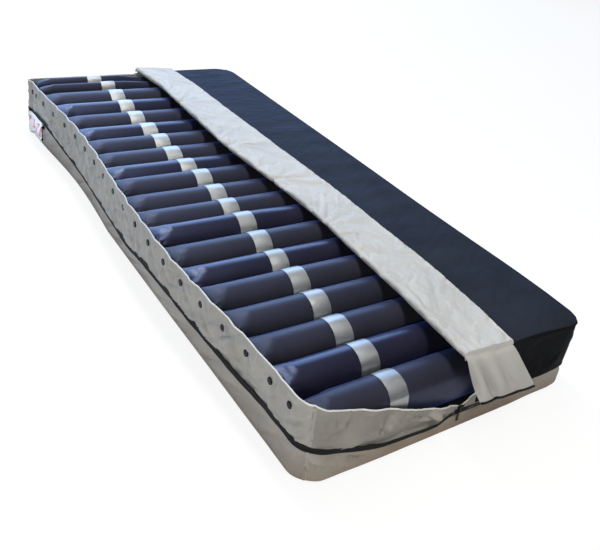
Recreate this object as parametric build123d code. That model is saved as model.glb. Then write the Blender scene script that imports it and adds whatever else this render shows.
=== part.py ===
from build123d import *
import math
import os

# Pressure relief mattress: alternating air cells in a zipped cover whose left half is folded back.
# Millimetres. X runs across (left is negative), Y from the foot (negative) to the head, Z up from the floor.

# ---------------------------------------------------------------- driving dimensions
half_width = 405.0          # centre line to the outer face of the side walls, at the corners
half_length = 1000.0        # centre line to the outer face of the foot and head walls
corner_radius = 62.0        # plan radius of the cover's corners
left_head_radius = 30.0     # plan radius of the sharper corner at the left of the head
wall_top = 208.0            # top edge of the upright retaining wall
cloth = 2.0                 # coated cover cloth, doubled and hemmed
wall_wave = 22.0            # how far the soft left wall stands in near the head and out near the foot
wave_pitch = 1900.0         # length of one such wave along the wall
wave_shift = 150.0          # where the wave crosses the straight line
lean_height = 56.0          # below this the lower wall tapers in to stand on a straight floor line
zip_height = 95.0           # zip seam at the corners, the head and the right side
zip_low = 40.0              # zip seam where the open foot end sags
zip_dip = 31.0              # how far the zip seam dips along the left side
zip_dip_place = 230.0       # where along the left side it dips most

cell_count = 20             # air cells, foot to head
static_cells = 3            # head cells that stay inflated
cell_pitch = 104.5          # spacing of the cells
squeezed_cells = 2          # cells at the head that share the room left over
cell_gap = 5.0              # air between neighbouring cells
cell_top = 201.0            # top of an inflated cell
cell_wall = 1.0             # cell fabric
cell_side_clearance = 6.0   # from a cell's welded end to the inner face of the wall
cell_taper = 55.0           # length over which a cell's end closes to its weld
corner_cell_inset = 24.0    # how much shorter each end of the first and last cell is, for the round corners
corner_weld_inset = 18.0    # how much narrower its welds are
weld_height = 182.0         # height of the end welds
weld_thickness = 6.0        # the two fabric layers and the puckers between them

pad_thickness = 48.0        # foam base pad
pad_clearance = 3.0         # between the pad and the cover walls
sheet_thickness = 1.6       # hold-down sheet over the pad, which the loops are sewn to
loop_width = 52.0           # silver loop round each cell
loop_thickness = 1.2
loop_place = 145.0          # rows of loops, left and right of the centre line
loop_drift = 55.0           # how much further out the rows stand at the foot
loop_drift_start = -300.0   # where along the mattress they begin to drift

stud_radius = 9.0           # press stud cap
stud_cap_thickness = 2.2
stud_height = 168.0         # row of press studs
shank_radius = 2.2
socket_radius = 6.5
socket_thickness = 2.5
tab_width = 28.0            # cell end tab held by the stud
tab_height = 36.0
tab_thickness = 1.0

tape_thickness = 0.9        # zip tape
tape_width = 10.0
coil_width = 2.4            # each zip coil
coil_depth = 3.0            # how far the coils stand out of the wall
coil_gap = 1.2              # slot between the two coils
slider_place = 30.0         # where the slider stands along the foot
slider_length = 18.0
slider_travel = 150.0       # straight stretch that the slider can run along
slider_end_room = 2.0
slider_wall = 1.8
pull_length = 24.0
pull_width = 7.0
pull_thickness = 1.8

cover_cloth = 2.0           # top cover fabric
skirt_bottom = 72.0         # lower edge of the skirts, clear of the air ports
skirt_foot_low = 54.0       # lower edge of the foot skirt, clear of the zip slider
fold_place = 34.0           # left fold of the folded pack at mid length
fold_end = 2.0              # the same at its two ends
pack_right = 200.0          # right edge of the folded pack at mid length
pack_right_end = 160.0      # the same at its two ends
pack_thickness = 21.0
pack_overhang = 13.0        # how far the pack reaches past the end walls
pack_round = 7.0            # rolled edges of the pack
flap_thickness = 6.0
flap_drop = 146.0           # height of the end flaps, in the middle
flap_top_left = 6.0         # an end flap's corners, along the end wall
flap_top_right = 150.0
flap_low_left = 64.0
flap_low_right = 256.0
flap_slope = 7.0            # how much lower or higher than the middle each lower corner is
flap_flare = 7.0            # degrees that the end flaps stand off the wall

hose_radius = 6.0
hose_bore = 4.0
hose_pitch = 15.0
tee_wall = 2.5
tee_length = 18.0
tee_stem_radius = 3.5
coupling_place = -900.0     # air inlet coupling, along the right wall
coupling_length = 48.0
port_radius = 4.0           # bores that the pump hose's ends push into
port_depth = 12.0
port_pitch = 24.0

release_place = 830.0       # release valve, along the left wall
release_height = 76.0
release_bore = 4.5
release_flange = 8.5
release_depth = 18.0
release_pull_length = 44.0
tag_low = 6.0               # tag beside the release pull
tag_high = 88.0
tag_near = 846.0
tag_far = 962.0

# clearances
touch = 0.3                 # between soft pieces that rest on each other
running = 0.05              # radial, round a pin or plug
tab_gap = 0.15              # either side of an end tab
tab_slack = 1.6             # from an end tab to the cell's weld, which moves
binding_lap = 6.0           # how far the edge binding reaches down the wall
binding_thickness = 0.8

# ---------------------------------------------------------------- worked-out values
straight_half_length = half_length - corner_radius
straight_half_width = half_width - corner_radius
zip_low_reach = slider_place + slider_travel + slider_length + slider_end_room   # half length of the sag
cover_inset = -(coil_depth + 0.4)
cover_bottom = wall_top + binding_thickness + touch
cover_top = cover_bottom + cover_cloth
full_cells = cell_count - squeezed_cells
squeezed_pitch = (2 * (half_length - cloth) - cell_gap - full_cells * cell_pitch) / squeezed_cells
pad_bottom = cloth + touch
pad_top = pad_bottom + pad_thickness
sheet_top = pad_top + touch / 2 + sheet_thickness
cell_bottom = sheet_top + touch + loop_thickness + touch
cell_height = cell_top - cell_bottom
cell_end = half_width - cloth - cell_side_clearance
pack_low = cover_top + touch
pack_high = pack_low + pack_thickness
hose_height = sheet_top + touch + hose_radius + tee_wall
hose_first = cell_end - hose_radius - 1.0
sides = ("left", "right", "foot", "head")


def save(node, shape):
    export_step(shape, "parts/" + node + ".step")


def wave(y):
    """How far the left wall stands in (positive) or out (negative) at a place along it."""
    window = 1 - (min(abs(y), straight_half_length) / straight_half_length) ** 4
    return wall_wave * math.sin(2 * math.pi * (y - wave_shift) / wave_pitch) * window ** 2


def floor_wave(y):
    """The same at the floor, where the wall doesn't lean out."""
    return max(0.0, wave(y))


def left_x(y):
    return -half_width + wave(y)


def wall_frame(y, side, z):
    """Place on the outer face of a side wall, with local X square to the wall (positive towards +X)."""
    if side > 0:
        return Pos(half_width, y, z)
    lean = math.degrees(math.atan(wave(y + 1) - wave(y - 1)) / 2)
    return Pos(left_x(y), y, z) * Rot(0, 0, -lean)


def cell_width(index):
    return (cell_pitch if index < full_cells else squeezed_pitch) - cell_gap


def cell_y(index):
    """Centre of a cell along the mattress: after the cells before it, and half its own width."""
    before = sum(cell_width(i) + cell_gap for i in range(index))
    return -half_length + cloth + cell_gap + before + cell_width(index) / 2 - cell_gap / 2


# ---------------------------------------------------------------- plan outline and height lines
def outline(inset, lean=wave):
    """Plan outline of the cover, offset inwards: a wavy left side, three straight sides, round corners."""
    ys, xs = straight_half_length, straight_half_width
    left_x_line = inset - half_width
    stations = [ys * (i / 16 - 1) for i in range(33)]
    left = [Spline(*[(left_x_line + lean(y), y) for y in stations], tangents=((0, 1), (0, 1)))]
    left.append(Line((left_x_line, ys), (left_x_line, half_length - left_head_radius)))
    right = Line((half_width - inset, ys), (half_width - inset, -ys))
    head = Line((left_head_radius - half_width, half_length - inset), (xs, half_length - inset))
    foot = Line((xs, inset - half_length), (-xs, inset - half_length))
    corners = []
    for sx, sy in ((-1, 1), (1, 1), (1, -1), (-1, -1)):
        radius = left_head_radius if (sx, sy) == (-1, 1) else corner_radius
        x, y, r = half_width - radius, half_length - radius, radius - inset
        bend = r * math.sqrt(0.5)
        ends = [(sx * (x + r), sy * y), (sx * (x + bend), sy * (y + bend)), (sx * x, sy * (y + r))]
        corners.append(ThreePointArc(*ends))
    return Face(Wire(left + [corners[0], head, corners[1], right, corners[2], foot, corners[3]]))


def slab(inset, low, high, lean=wave):
    return extrude(Pos(0, 0, low) * outline(inset, lean), high - low, dir=(0, 0, 1))


def ring(outer, inner, low=0.0, high=wall_top + 20):
    return slab(outer, low, high) - slab(inner, low - 1, high + 1)


def quadrant(side):
    """Everything that belongs to one side of the cover, split at the corner seams."""
    reach = corner_radius + 60
    x_out, y_out = half_width + 60, half_length + 60
    x_in, y_in = half_width - reach, half_length - reach
    corners = {
        "left": [(-x_out, -y_out), (-x_in, -y_in), (-x_in, y_in), (-x_out, y_out)],
        "right": [(x_out, -y_out), (x_out, y_out), (x_in, y_in), (x_in, -y_in)],
        "foot": [(-x_out, -y_out), (x_out, -y_out), (x_in, -y_in), (-x_in, -y_in)],
        "head": [(-x_out, y_out), (-x_in, y_in), (x_in, y_in), (x_out, y_out)],
    }
    face = make_face(Polyline(*corners[side], close=True))
    return extrude(Pos(0, 0, -10) * face, wall_top + 100, dir=(0, 0, 1))


def reach_of(side):
    return half_length + 40 if side in ("left", "right") else half_width + 40


def level(side, height):
    end = reach_of(side)
    return [Line((-end, height), (end, height))]


def zip_line(side, rise=0.0):
    """The zip seam seen square to one side, raised by some height."""
    end = reach_of(side)
    high = zip_height + rise
    if side == "left":
        dip = (zip_dip_place, high - zip_dip)
        near = straight_half_length
        shape = [(-near, high), (-400, high - 2), dip, (800, high - 2), (near, high)]
        middle = [Spline(*shape, tangents=((1, 0), (1, 0)))]
    elif side == "foot":
        low = zip_low + rise
        near = straight_half_width
        down = Spline((-near, high), (-zip_low_reach, low), tangents=((1, 0), (1, 0)))
        flat = Line((-zip_low_reach, low), (zip_low_reach, low))
        up = Spline((zip_low_reach, low), (near, high), tangents=((1, 0), (1, 0)))
        middle = [down, flat, up]
    else:
        return level(side, high)
    return [Line((-end, high), (-near, high))] + middle + [Line((near, high), (end, high))]


def top_line(side, rise=0.0):
    """Top edge of the retaining wall: level, but slumped at the foot, where nothing holds it up."""
    if side != "foot":
        return level(side, wall_top + rise)
    end = reach_of(side)
    slump = [(-end, wall_top), (-365, wall_top), (-340, 190), (33, zip_low + 26), (80, 108), (150, 150),
             (235, wall_top), (end, wall_top)]
    ends = [(x, z + rise) for x, z in slump]
    return [Line(a, b) for a, b in zip(ends, ends[1:])]


def between(side, low, high):
    """Upright prism on one side of the mattress, between two height lines."""
    ends = [low[0] @ 0, high[0] @ 0, low[-1] @ 1, high[-1] @ 1]
    face = Face(Wire(low + high + [Line(ends[0], ends[1]), Line(ends[2], ends[3])]))
    if side in ("left", "right"):
        turned = Plane(origin=(0, 0, 0), x_dir=(0, 1, 0), z_dir=(1, 0, 0)) * face
        start = -half_width - 60 if side == "left" else 0
        return extrude(Pos(start, 0, 0) * turned, half_width + 60, dir=(1, 0, 0))
    turned = Plane(origin=(0, 0, 0), x_dir=(1, 0, 0), z_dir=(0, -1, 0)) * face
    start = 0 if side == "foot" else half_length + 60
    return extrude(Pos(0, start, 0) * turned, half_length + 60, dir=(0, -1, 0))


def panel(side, outer, inner, low, high):
    return ring(outer, inner) & quadrant(side) & between(side, low, high)


# ---------------------------------------------------------------- base cover
def tapered(inset, high):
    """A slab that grows from the floor outline to the wall's own outline."""
    grown = loft([outline(inset, floor_wave), Pos(0, 0, lean_height) * outline(inset)], ruled=True)
    return grown + slab(inset, lean_height, high)


def lower_wall(side):
    if side != "left":
        return panel(side, 0, cloth, level(side, 0), zip_line(side))
    wall = tapered(0, zip_height + 5) - tapered(cloth, zip_height + 6)
    return wall & quadrant(side) & between(side, level(side, 0), zip_line(side))


def retaining_wall(side):
    return panel(side, 0, cloth, zip_line(side), top_line(side))


def binding():
    """Folded edge tape that caps the retaining wall."""
    pieces = []
    for side in sides:
        low, high = top_line(side, -binding_lap), top_line(side, binding_thickness)
        cap = panel(side, -binding_thickness, cloth + binding_thickness, low, high)
        pieces.append(cap - retaining_wall(side))
    return pieces[0] + pieces[1] + pieces[2] + pieces[3]


def zip_band(outer, inner, low, high):
    pieces = [panel(side, outer, inner, zip_line(side, low), zip_line(side, high)) for side in sides]
    return pieces[0] + pieces[1] + pieces[2] + pieces[3]


# heights of the zip's parts above the seam
lower_coil = tape_width / 2 - 1
slot_low = lower_coil + coil_width
slot_high = slot_low + coil_gap
upper_coil_top = slot_high + coil_width
upper_tape_top = upper_coil_top + tape_width


def closed_half(shape):
    """The zip is closed from the slider round the right side to the middle of the head end."""
    foot = Pos(slider_place + 500, -half_length / 2 - 25, 100) * Box(1000, half_length + 50, 300)
    head = Pos(500, half_length / 2 + 25, 100) * Box(1000, half_length + 50, 300)
    return shape & (foot + head)


# ---------------------------------------------------------------- press studs
def stud_y(index, side):
    """One stud for each cell, kept off the round corners and clear of the next stud."""
    room = max(stud_radius, tab_width / 2)
    head_end = half_length - room - (left_head_radius if side < 0 else corner_radius)
    later = (cell_count - 1 - index) * (tab_width + cell_gap)
    return max(room - straight_half_length, min(head_end - later, cell_y(index)))


def stud_places(side):
    return [wall_frame(stud_y(index, side), side, stud_height) for index in range(cell_count)]


def across(radius, x0, x1):
    """A cylinder along local X between two places."""
    align = (Align.CENTER, Align.CENTER, Align.MIN)
    return Pos(min(x0, x1), 0, 0) * Rot(0, 90, 0) * Cylinder(radius, abs(x1 - x0), align=align)


def stud_cap(side):
    inner = -side * (cloth + tab_thickness + 2 * tab_gap + socket_thickness)
    cap = across(stud_radius, side * tab_gap, side * (tab_gap + stud_cap_thickness))
    cap = fillet(cap.edges().group_by(Axis.X)[-1 if side > 0 else 0], stud_cap_thickness / 2)
    return cap + across(shank_radius, side * (tab_gap + stud_cap_thickness / 2), inner)


def stud_socket(side):
    outer = -side * (cloth + tab_thickness + 2 * tab_gap)
    body = across(socket_radius, outer, outer - side * socket_thickness)
    return body - across(shank_radius + running, outer + 5, outer - 5)


def end_tab(side):
    """L-shaped tab: one leg lies on the wall under the stud, the other reaches to the cell's weld."""
    face = -side * (cloth + tab_gap)
    top = weld_height - stud_height
    leg = Box(tab_thickness, tab_width, tab_height)
    reach = cell_side_clearance - tab_gap - tab_slack
    foot = Box(reach, tab_width, tab_thickness)
    body = Pos(face - side * tab_thickness / 2, 0, top - tab_height / 2) * leg
    body += Pos(face - side * reach / 2, 0, top - tab_thickness / 2) * foot
    return body - across(shank_radius + running, face + 5, face - 5)


def on_both_walls(piece):
    """One copy for each cell on the left wall, and as many on the right."""
    return Compound(children=[place * piece(side) for side in (-1, 1) for place in stud_places(side)])


# ---------------------------------------------------------------- air cells
def cell_section(width, height, x, z):
    round_radius = min(width, height) / 2 * 0.96
    face = RectangleRounded(width, height, round_radius).face()
    return Plane(origin=(x, 0, z), x_dir=(0, 1, 0), z_dir=(1, 0, 0)) * face


def cell_solid(full_width, left_end, right_end, weld, skin):
    """A sausage of air: a tall round-ended section that closes to a flat weld at each end."""
    body_z = (cell_bottom + cell_top) / 2
    width, height = full_width - 2 * skin, cell_height - 2 * skin
    weld_width, weld_depth = weld - 2 * skin, weld_thickness - 2 * skin
    x0, x1 = left_end + cell_taper, right_end - cell_taper
    body = extrude(cell_section(width, height, x0, body_z), x1 - x0, dir=(1, 0, 0))
    for x, end in ((x0, left_end + skin), (x1, right_end - skin)):
        near = cell_section(width, height, x, body_z)
        seam = cell_section(weld_width, weld_depth, end, weld_height)
        body += loft([near, seam] if end > x else [seam, near], ruled=True)
    return body


def air_cell(index):
    y = cell_y(index)
    left_end = left_x(y) + cloth + cell_side_clearance
    right_end = cell_end
    width = cell_width(index)
    weld = width - 6
    if index in (0, cell_count - 1):
        left_end += corner_cell_inset
        right_end -= corner_cell_inset
        weld -= 2 * corner_weld_inset
    shell = cell_solid(width, left_end, right_end, weld, 0)
    shell -= cell_solid(width, left_end, right_end, weld, cell_wall)
    return Pos(0, y, 0) * shell


def loop_x(index):
    drift = max(0.0, loop_drift_start - cell_y(index)) / (half_length + loop_drift_start)
    return loop_place + loop_drift * drift ** 2


def cell_loop(index, x):
    z = (cell_bottom + cell_top) / 2
    inner = touch * 2
    outer = inner + loop_thickness * 2
    band = cell_section(cell_width(index) + outer, cell_height + outer, x, z)
    band -= cell_section(cell_width(index) + inner, cell_height + inner, x, z)
    return Pos(-loop_width / 2, cell_y(index), 0) * extrude(band, loop_width, dir=(1, 0, 0))


def loops_of(indices):
    return Compound(children=[cell_loop(i, side * loop_x(i)) for i in indices for side in (-1, 1)])


# ---------------------------------------------------------------- inside the cover
def base_pad():
    return slab(cloth + pad_clearance, pad_bottom, pad_top, floor_wave)


def hold_down_sheet():
    return slab(cloth + pad_clearance, pad_top + touch / 2, sheet_top, floor_wave)


def hose_x(line):
    return hose_first - line * hose_pitch


def hose(line):
    """One air hose in two stretches, either side of the inlet coupling, with its far ends plugged."""
    last = max(index for index in range(cell_count) if line_of(index) == line)
    ends = [cell_y(0) - tee_length, coupling_place - coupling_length / 2]
    ends += [coupling_place + coupling_length / 2, cell_y(last) + tee_length]
    runs = []
    for y0, y1, plug in ((ends[0], ends[1], ends[0]), (ends[2], ends[3], ends[3])):
        tube = Cylinder(hose_radius, y1 - y0) - Cylinder(hose_bore, y1 - y0 + 2)
        tube = Pos(hose_x(line), (y0 + y1) / 2, hose_height) * Rot(90, 0, 0) * tube
        inward = 3 if plug == y0 else -3
        stop = Pos(hose_x(line), plug + inward, hose_height) * Rot(90, 0, 0) * Cylinder(hose_bore, 6)
        runs.append(tube + stop)
    return Compound(children=runs)


def line_of(index):
    """Which hose feeds a cell: 0 and 1 alternate, 2 is the static line at the head."""
    if index >= cell_count - static_cells:
        return 2
    return index % 2


def tee(index):
    """Collar round the hose with a stem that rises to the cell's sloping end."""
    x, y = hose_x(line_of(index)), cell_y(index)
    fit = hose_radius + running
    slope = (weld_height - weld_thickness / 2 - cell_bottom) / cell_taper
    stem_top = cell_bottom + slope * (x - tee_stem_radius - cell_end + cell_taper) - 2
    collar = Rot(90, 0, 0) * Cylinder(fit + tee_wall - running, tee_length)
    stem = Cylinder(tee_stem_radius, stem_top - hose_height, align=(Align.CENTER, Align.CENTER, Align.MIN))
    body = Pos(x, y, hose_height) * (collar + stem)
    return body - Pos(x, y, hose_height) * Rot(90, 0, 0) * Cylinder(fit, tee_length + 2)


def coupling_neck(extra):
    reach = cloth + 6
    box = Box(reach + 6, coupling_length - 8 + extra, 12 + extra)
    return Pos(half_width - reach / 2, coupling_place, hose_height) * box


def inlet_coupling():
    """Block that joins the hoses inside, with two push-in ports outside the right wall."""
    low_x = hose_x(2) - hose_radius - 2
    high_x = half_width - cloth - 1
    body = Box(high_x - low_x, coupling_length, 2 * hose_radius + 3)
    block = Pos((low_x + high_x) / 2, coupling_place, hose_height) * body
    plate = Pos(half_width + 1.3, coupling_place, hose_height) * Box(2, coupling_length + 8, 20)
    body = block + coupling_neck(0) + plate
    for place in (-port_pitch / 2, port_pitch / 2):
        port = Pos(half_width, coupling_place + place, hose_height)
        body += port * across(port_radius + 2.5, 0, port_depth + 2)
        body -= port * across(port_radius, 2, port_depth + 3)
    return body


# ---------------------------------------------------------------- release valve
def release_frame():
    return wall_frame(release_place, -1, release_height)


# the release valve's own stations along local X, outwards from the wall
flange_thickness = 1.6
flange_face = -touch / 3 - flange_thickness
plug_cap_face = flange_face - touch
plug_cap_thickness = 2.0
hinge_reach = 3.0
release_hinge = plug_cap_face - plug_cap_thickness - hinge_reach


def release_socket():
    flange = across(release_flange, flange_face, -touch / 3)
    tube = across(release_bore + 2, flange_face, release_depth)
    return flange + tube - across(release_bore, flange_face - 1, release_depth + 1)


def release_plug():
    stem = across(release_bore - running, plug_cap_face, release_depth - 2)
    cap = across(release_flange - 2, plug_cap_face, plug_cap_face - plug_cap_thickness)
    body = stem + cap
    for place in (-3.2, 3.2):
        body += Pos(release_hinge + 0.5, place, 0) * Box(2 * hinge_reach - 1, 1.6, 5)
    pin = Rot(90, 0, 0) * Cylinder(1.1, 6)
    return body + Pos(release_hinge, 0, 0) * pin


def release_pull():
    """Moulded pull that hangs from the plug, with a bead at its lower end."""
    eye = Rot(90, 0, 0) * (Cylinder(2.3, 4) - Cylinder(1.1 + running, 5))
    bar = Pos(0, 0, -release_pull_length / 2 - 1.6) * Box(2.4, 3.4, release_pull_length)
    bead = Pos(0, 0, -release_pull_length - 3) * Sphere(3.8)
    bar -= Rot(90, 0, 0) * Cylinder(2.0, 6)
    return Pos(release_hinge, 0, 0) * (eye + bar + bead)


def release_tag():
    """Tag on the lower wall beside the release pull, following the wall's curve."""
    face = ring(-0.9, -0.05) & quadrant("left")
    window = Pos(-half_width, (tag_near + tag_far) / 2, (tag_low + tag_high) / 2)
    return face & (window * Box(80, tag_far - tag_near, tag_high - tag_low))


# ---------------------------------------------------------------- zip slider
def slider_z():
    return zip_low + slot_low + coil_gap / 2


def slider():
    """Cap that rides on the two coils, with a web in the slot between them and an eye for the pull."""
    half = coil_width + coil_gap / 2 + touch
    back = -half_length - tape_thickness - touch
    front = -half_length - coil_depth - touch
    depth = back - (front - slider_wall)
    body = Box(slider_length, depth, 2 * (half + slider_wall))
    body = Pos(0, back - depth / 2, 0) * fillet(body.edges().filter_by(Axis.Y), 2.5)
    for z in (-1, 1):
        groove = Box(slider_length + 2, 4, half - 0.3)
        body -= Pos(0, front + 2, z * (0.3 + (half - 0.3) / 2)) * groove
    for x in (-4.6, 4.6):
        body += Pos(x, front - slider_wall - 1.5, 0) * Box(1.4, 3.6, 5)
    pin = Rot(0, 90, 0) * Cylinder(0.9, 9)
    body += Pos(0, slider_hinge_y(), 0) * pin
    return Pos(slider_place, 0, slider_z()) * body


def slider_hinge_y():
    return -half_length - coil_depth - touch - slider_wall - 2.2


def slider_pull():
    eye = Rot(0, 90, 0) * (Cylinder(1.9, pull_width) - Cylinder(0.9 + running, pull_width + 1))
    plate = Box(pull_width, pull_thickness, pull_length)
    plate = fillet(plate.edges().filter_by(Axis.Y), 2)
    plate = Pos(0, 0, -pull_length / 2 - 1.4) * plate
    slot = Pos(0, 0, -pull_length + 5) * Rot(90, 0, 0) * Cylinder(1.6, 5)
    body = eye + (plate - Rot(0, 90, 0) * Cylinder(1.6, 20)) - slot
    return Pos(slider_place, slider_hinge_y(), slider_z()) * body


# ---------------------------------------------------------------- top cover
def right_of(place):
    return Pos(place + 500, 0, 150) * Box(1000, 3 * half_length, 400)


def fold_arc(inset):
    """The left fold of the pack in plan, from the foot to the head, or a line inside it."""
    end = half_length + pack_overhang
    return ThreePointArc((fold_end + inset, -end), (fold_place + inset, 0), (fold_end + inset, end))


def cover_panel():
    """Top of the closed half. Its left edge is the turn where the folded half starts."""
    end = half_length + pack_overhang
    start, far = fold_end + pack_round, half_width + 40
    edge = [Line((start, end), (far, end)), Line((far, end), (far, -end)), Line((far, -end), (start, -end))]
    closed = Face(Wire([fold_arc(pack_round)] + edge))
    return slab(cover_inset - cover_cloth, cover_bottom, cover_top) & extrude(closed, 400, dir=(0, 0, 1))


def cover_skirt(side):
    low = level(side, skirt_bottom)
    if side == "foot":
        end = reach_of(side)
        bend = (240, skirt_foot_low)
        low = [Line((-end, skirt_foot_low), bend), Line(bend, (end, skirt_bottom))]
    skirt = panel(side, cover_inset - cover_cloth, cover_inset, low, level(side, cover_bottom))
    if side == "right":
        return skirt
    return skirt & right_of(slider_place + slider_length if side == "foot" else 0)


def folded_pack():
    """The cover's left half, folded back on the right half in layers."""
    end = half_length + pack_overhang
    right = ThreePointArc((pack_right_end, end), (pack_right, 0), (pack_right_end, -end))
    head = Line((fold_end, end), (pack_right_end, end))
    foot = Line((pack_right_end, -end), (fold_end, -end))
    outline_face = Face(Wire([fold_arc(0), head, right, foot]))
    pack = extrude(Pos(0, 0, pack_low) * outline_face, pack_thickness, dir=(0, 0, 1))
    return fillet(pack.edges().group_by(Axis.Z)[-1], pack_round)


# the two lower corners of an end flap, from its top edge
flap_left = (flap_low_left, flap_slope - flap_drop)
flap_right = (flap_low_right, -flap_slope - flap_drop)


def hung(end, corners, thickness):
    """A plate that hangs over an end wall from the pack's top and leans out from the wall."""
    plate = extrude(Plane.XZ * make_face(Polyline(*corners, close=True)), thickness, dir=(0, end, 0))
    top = pack_high - pack_round / 2
    return Pos(0, end * (half_length + pack_overhang + touch), top) * Rot(end * flap_flare, 0, 0) * plate


def end_flap(end):
    """Skirt of the folded half: it hangs over an end wall and leans towards the right."""
    return hung(end, [(flap_top_left, 0), (flap_top_right, 0), flap_right, flap_left], flap_thickness)


def flap_tape(end):
    """Zip tape and coil along the lower edge of an end flap."""
    low_right = (flap_right[0] + 2, flap_right[1] - tape_width + coil_depth)
    low_left = (flap_left[0] + 2, flap_left[1] - tape_width + coil_depth)
    return hung(end, [flap_left, flap_right, low_right, low_left], tape_thickness + cloth)


def main():
    os.makedirs("parts", exist_ok=True)
    shank_hole = across(shank_radius + running, -8, 8)
    for index in range(cell_count):
        save("air_cell_%02d" % (index + 1), air_cell(index))
    group_a = [i for i in range(cell_count) if line_of(i) == 0]
    group_b = [i for i in range(cell_count) if line_of(i) == 1]
    static = [i for i in range(cell_count) if line_of(i) == 2]
    save("cell_loops_a", loops_of(group_a))
    save("cell_loops_b", loops_of(group_b))
    save("cell_loops_static", loops_of(static))

    save("base_sheet", slab(cloth, 0, cloth, floor_wave))
    valve_hole = release_frame() * across(release_bore + 2 + running, -8, 8)
    for side in sides:
        lower = lower_wall(side)
        upper = retaining_wall(side)
        if side == "left":
            lower -= valve_hole
            upper -= [place * shank_hole for place in stud_places(-1)]
        if side == "right":
            lower -= coupling_neck(0.6)
            upper -= [place * shank_hole for place in stud_places(1)]
        save("lower_wall_" + side, lower)
        save("retaining_wall_" + side, upper)
    save("wall_binding", binding())
    save("base_pad", base_pad())
    save("hold_down_sheet", hold_down_sheet())

    save("lower_zip_tape", zip_band(-tape_thickness, 0, lower_coil - tape_width, lower_coil))
    save("lower_zip_coil", zip_band(-coil_depth, 0, lower_coil, slot_low))
    upper_coil = closed_half(zip_band(-coil_depth, 0, slot_high, upper_coil_top))
    upper_tape = closed_half(zip_band(-tape_thickness, 0, upper_coil_top, upper_tape_top))
    save("upper_zip_coil", upper_coil)
    save("upper_zip_tape", Compound(children=[upper_tape, flap_tape(-1), flap_tape(1)]))
    save("zip_slider", slider())
    save("zip_pull", slider_pull())

    save("stud_caps", on_both_walls(stud_cap))
    save("stud_sockets", on_both_walls(stud_socket))
    save("cell_end_tabs", on_both_walls(end_tab))

    for line, name in enumerate(("air_hose_a", "air_hose_b", "air_hose_static")):
        save(name, hose(line))
    save("hose_tees", Compound(children=[tee(index) for index in range(cell_count)]))
    save("air_inlet_coupling", inlet_coupling())

    save("release_socket", release_frame() * release_socket())
    save("release_plug", release_frame() * release_plug())
    save("release_pull", release_frame() * release_pull())
    save("release_tag", release_tag())

    save("cover_top_panel", cover_panel())
    for side in ("right", "foot", "head"):
        save("cover_skirt_" + side, cover_skirt(side))
    save("cover_folded_pack", folded_pack())
    save("cover_flap_foot", end_flap(-1))
    save("cover_flap_head", end_flap(1))


main()
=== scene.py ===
# %% [markdown]
# # Dressing a pressure relief mattress
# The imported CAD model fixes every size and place. This lesson gives it the look of the real thing: air cells of
# satin coated nylon, silver loops round them, a grey zipped base cover, and a navy top cover whose left half is
# folded back in a pale pack. Lengths are in metres. X runs across, Y from the foot to the head, Z up.

# %% The frame and the tools
import math

import bpy
import numpy as np
from mathutils import Matrix, Vector, noise


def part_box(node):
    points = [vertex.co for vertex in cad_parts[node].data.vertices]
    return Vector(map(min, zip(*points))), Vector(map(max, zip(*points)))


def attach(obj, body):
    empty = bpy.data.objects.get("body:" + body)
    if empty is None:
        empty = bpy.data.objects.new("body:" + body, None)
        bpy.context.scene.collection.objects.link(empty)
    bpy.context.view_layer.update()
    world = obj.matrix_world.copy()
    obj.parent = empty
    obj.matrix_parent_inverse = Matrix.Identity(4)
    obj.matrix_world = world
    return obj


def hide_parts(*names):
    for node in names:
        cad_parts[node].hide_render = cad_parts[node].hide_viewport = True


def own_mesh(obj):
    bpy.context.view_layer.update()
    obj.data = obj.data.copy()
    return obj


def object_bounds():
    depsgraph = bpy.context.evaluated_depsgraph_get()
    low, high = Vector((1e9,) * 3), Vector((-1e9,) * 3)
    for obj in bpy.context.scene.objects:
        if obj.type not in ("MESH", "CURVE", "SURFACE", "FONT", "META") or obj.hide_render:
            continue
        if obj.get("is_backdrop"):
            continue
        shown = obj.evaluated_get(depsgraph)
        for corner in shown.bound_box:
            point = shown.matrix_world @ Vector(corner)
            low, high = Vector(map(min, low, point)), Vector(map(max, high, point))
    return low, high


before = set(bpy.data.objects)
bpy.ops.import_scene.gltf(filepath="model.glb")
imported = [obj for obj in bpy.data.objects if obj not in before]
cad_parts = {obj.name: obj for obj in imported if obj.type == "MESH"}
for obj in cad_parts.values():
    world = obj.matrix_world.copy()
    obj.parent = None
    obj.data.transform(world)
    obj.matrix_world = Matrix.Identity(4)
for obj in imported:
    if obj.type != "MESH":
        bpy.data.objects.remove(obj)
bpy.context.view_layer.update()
bpy.ops.object.select_all(action="DESELECT")

# %% [markdown]
# ## Where the cells stand
# Twenty air cells lie side by side from the foot to the head, and most other pieces line up with them: a loop round
# each cell, a stud and a tab at its end, a slight dip in the cover between two. Their places could be typed in, but
# reading them from the CAD's boxes keeps both models together.

# %% The cells' boxes
cells = [f"air_cell_{n:02d}" for n in range(1, 21)]
cell_boxes = [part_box(name) for name in cells]
cell_places = np.array([(low.y + high.y) / 2 for low, high in cell_boxes])
pitch = cell_places[1] - cell_places[0]
print("cell pitch", round(pitch, 4), "first and last", cell_places[[0, -1]].round(3))

# %% [markdown]
# ## One piece at a time
# Blender's operators act on whatever is selected, so every helper first selects only its own piece. Points could be
# moved one by one, which is slow for thousands of them. Here they are read into one array, shaped together, and
# written back.

# %% Selecting a piece, reading and moving its points


def only(piece):
    """Selects this piece alone and makes it active."""
    bpy.ops.object.select_all(action="DESELECT")
    piece.select_set(True)
    bpy.context.view_layer.objects.active = piece


def points(piece):
    """The piece's points, one row each."""
    co = np.empty(len(piece.data.vertices) * 3, np.float32)
    piece.data.vertices.foreach_get("co", co)
    return co.reshape(-1, 3).astype(float)


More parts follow.
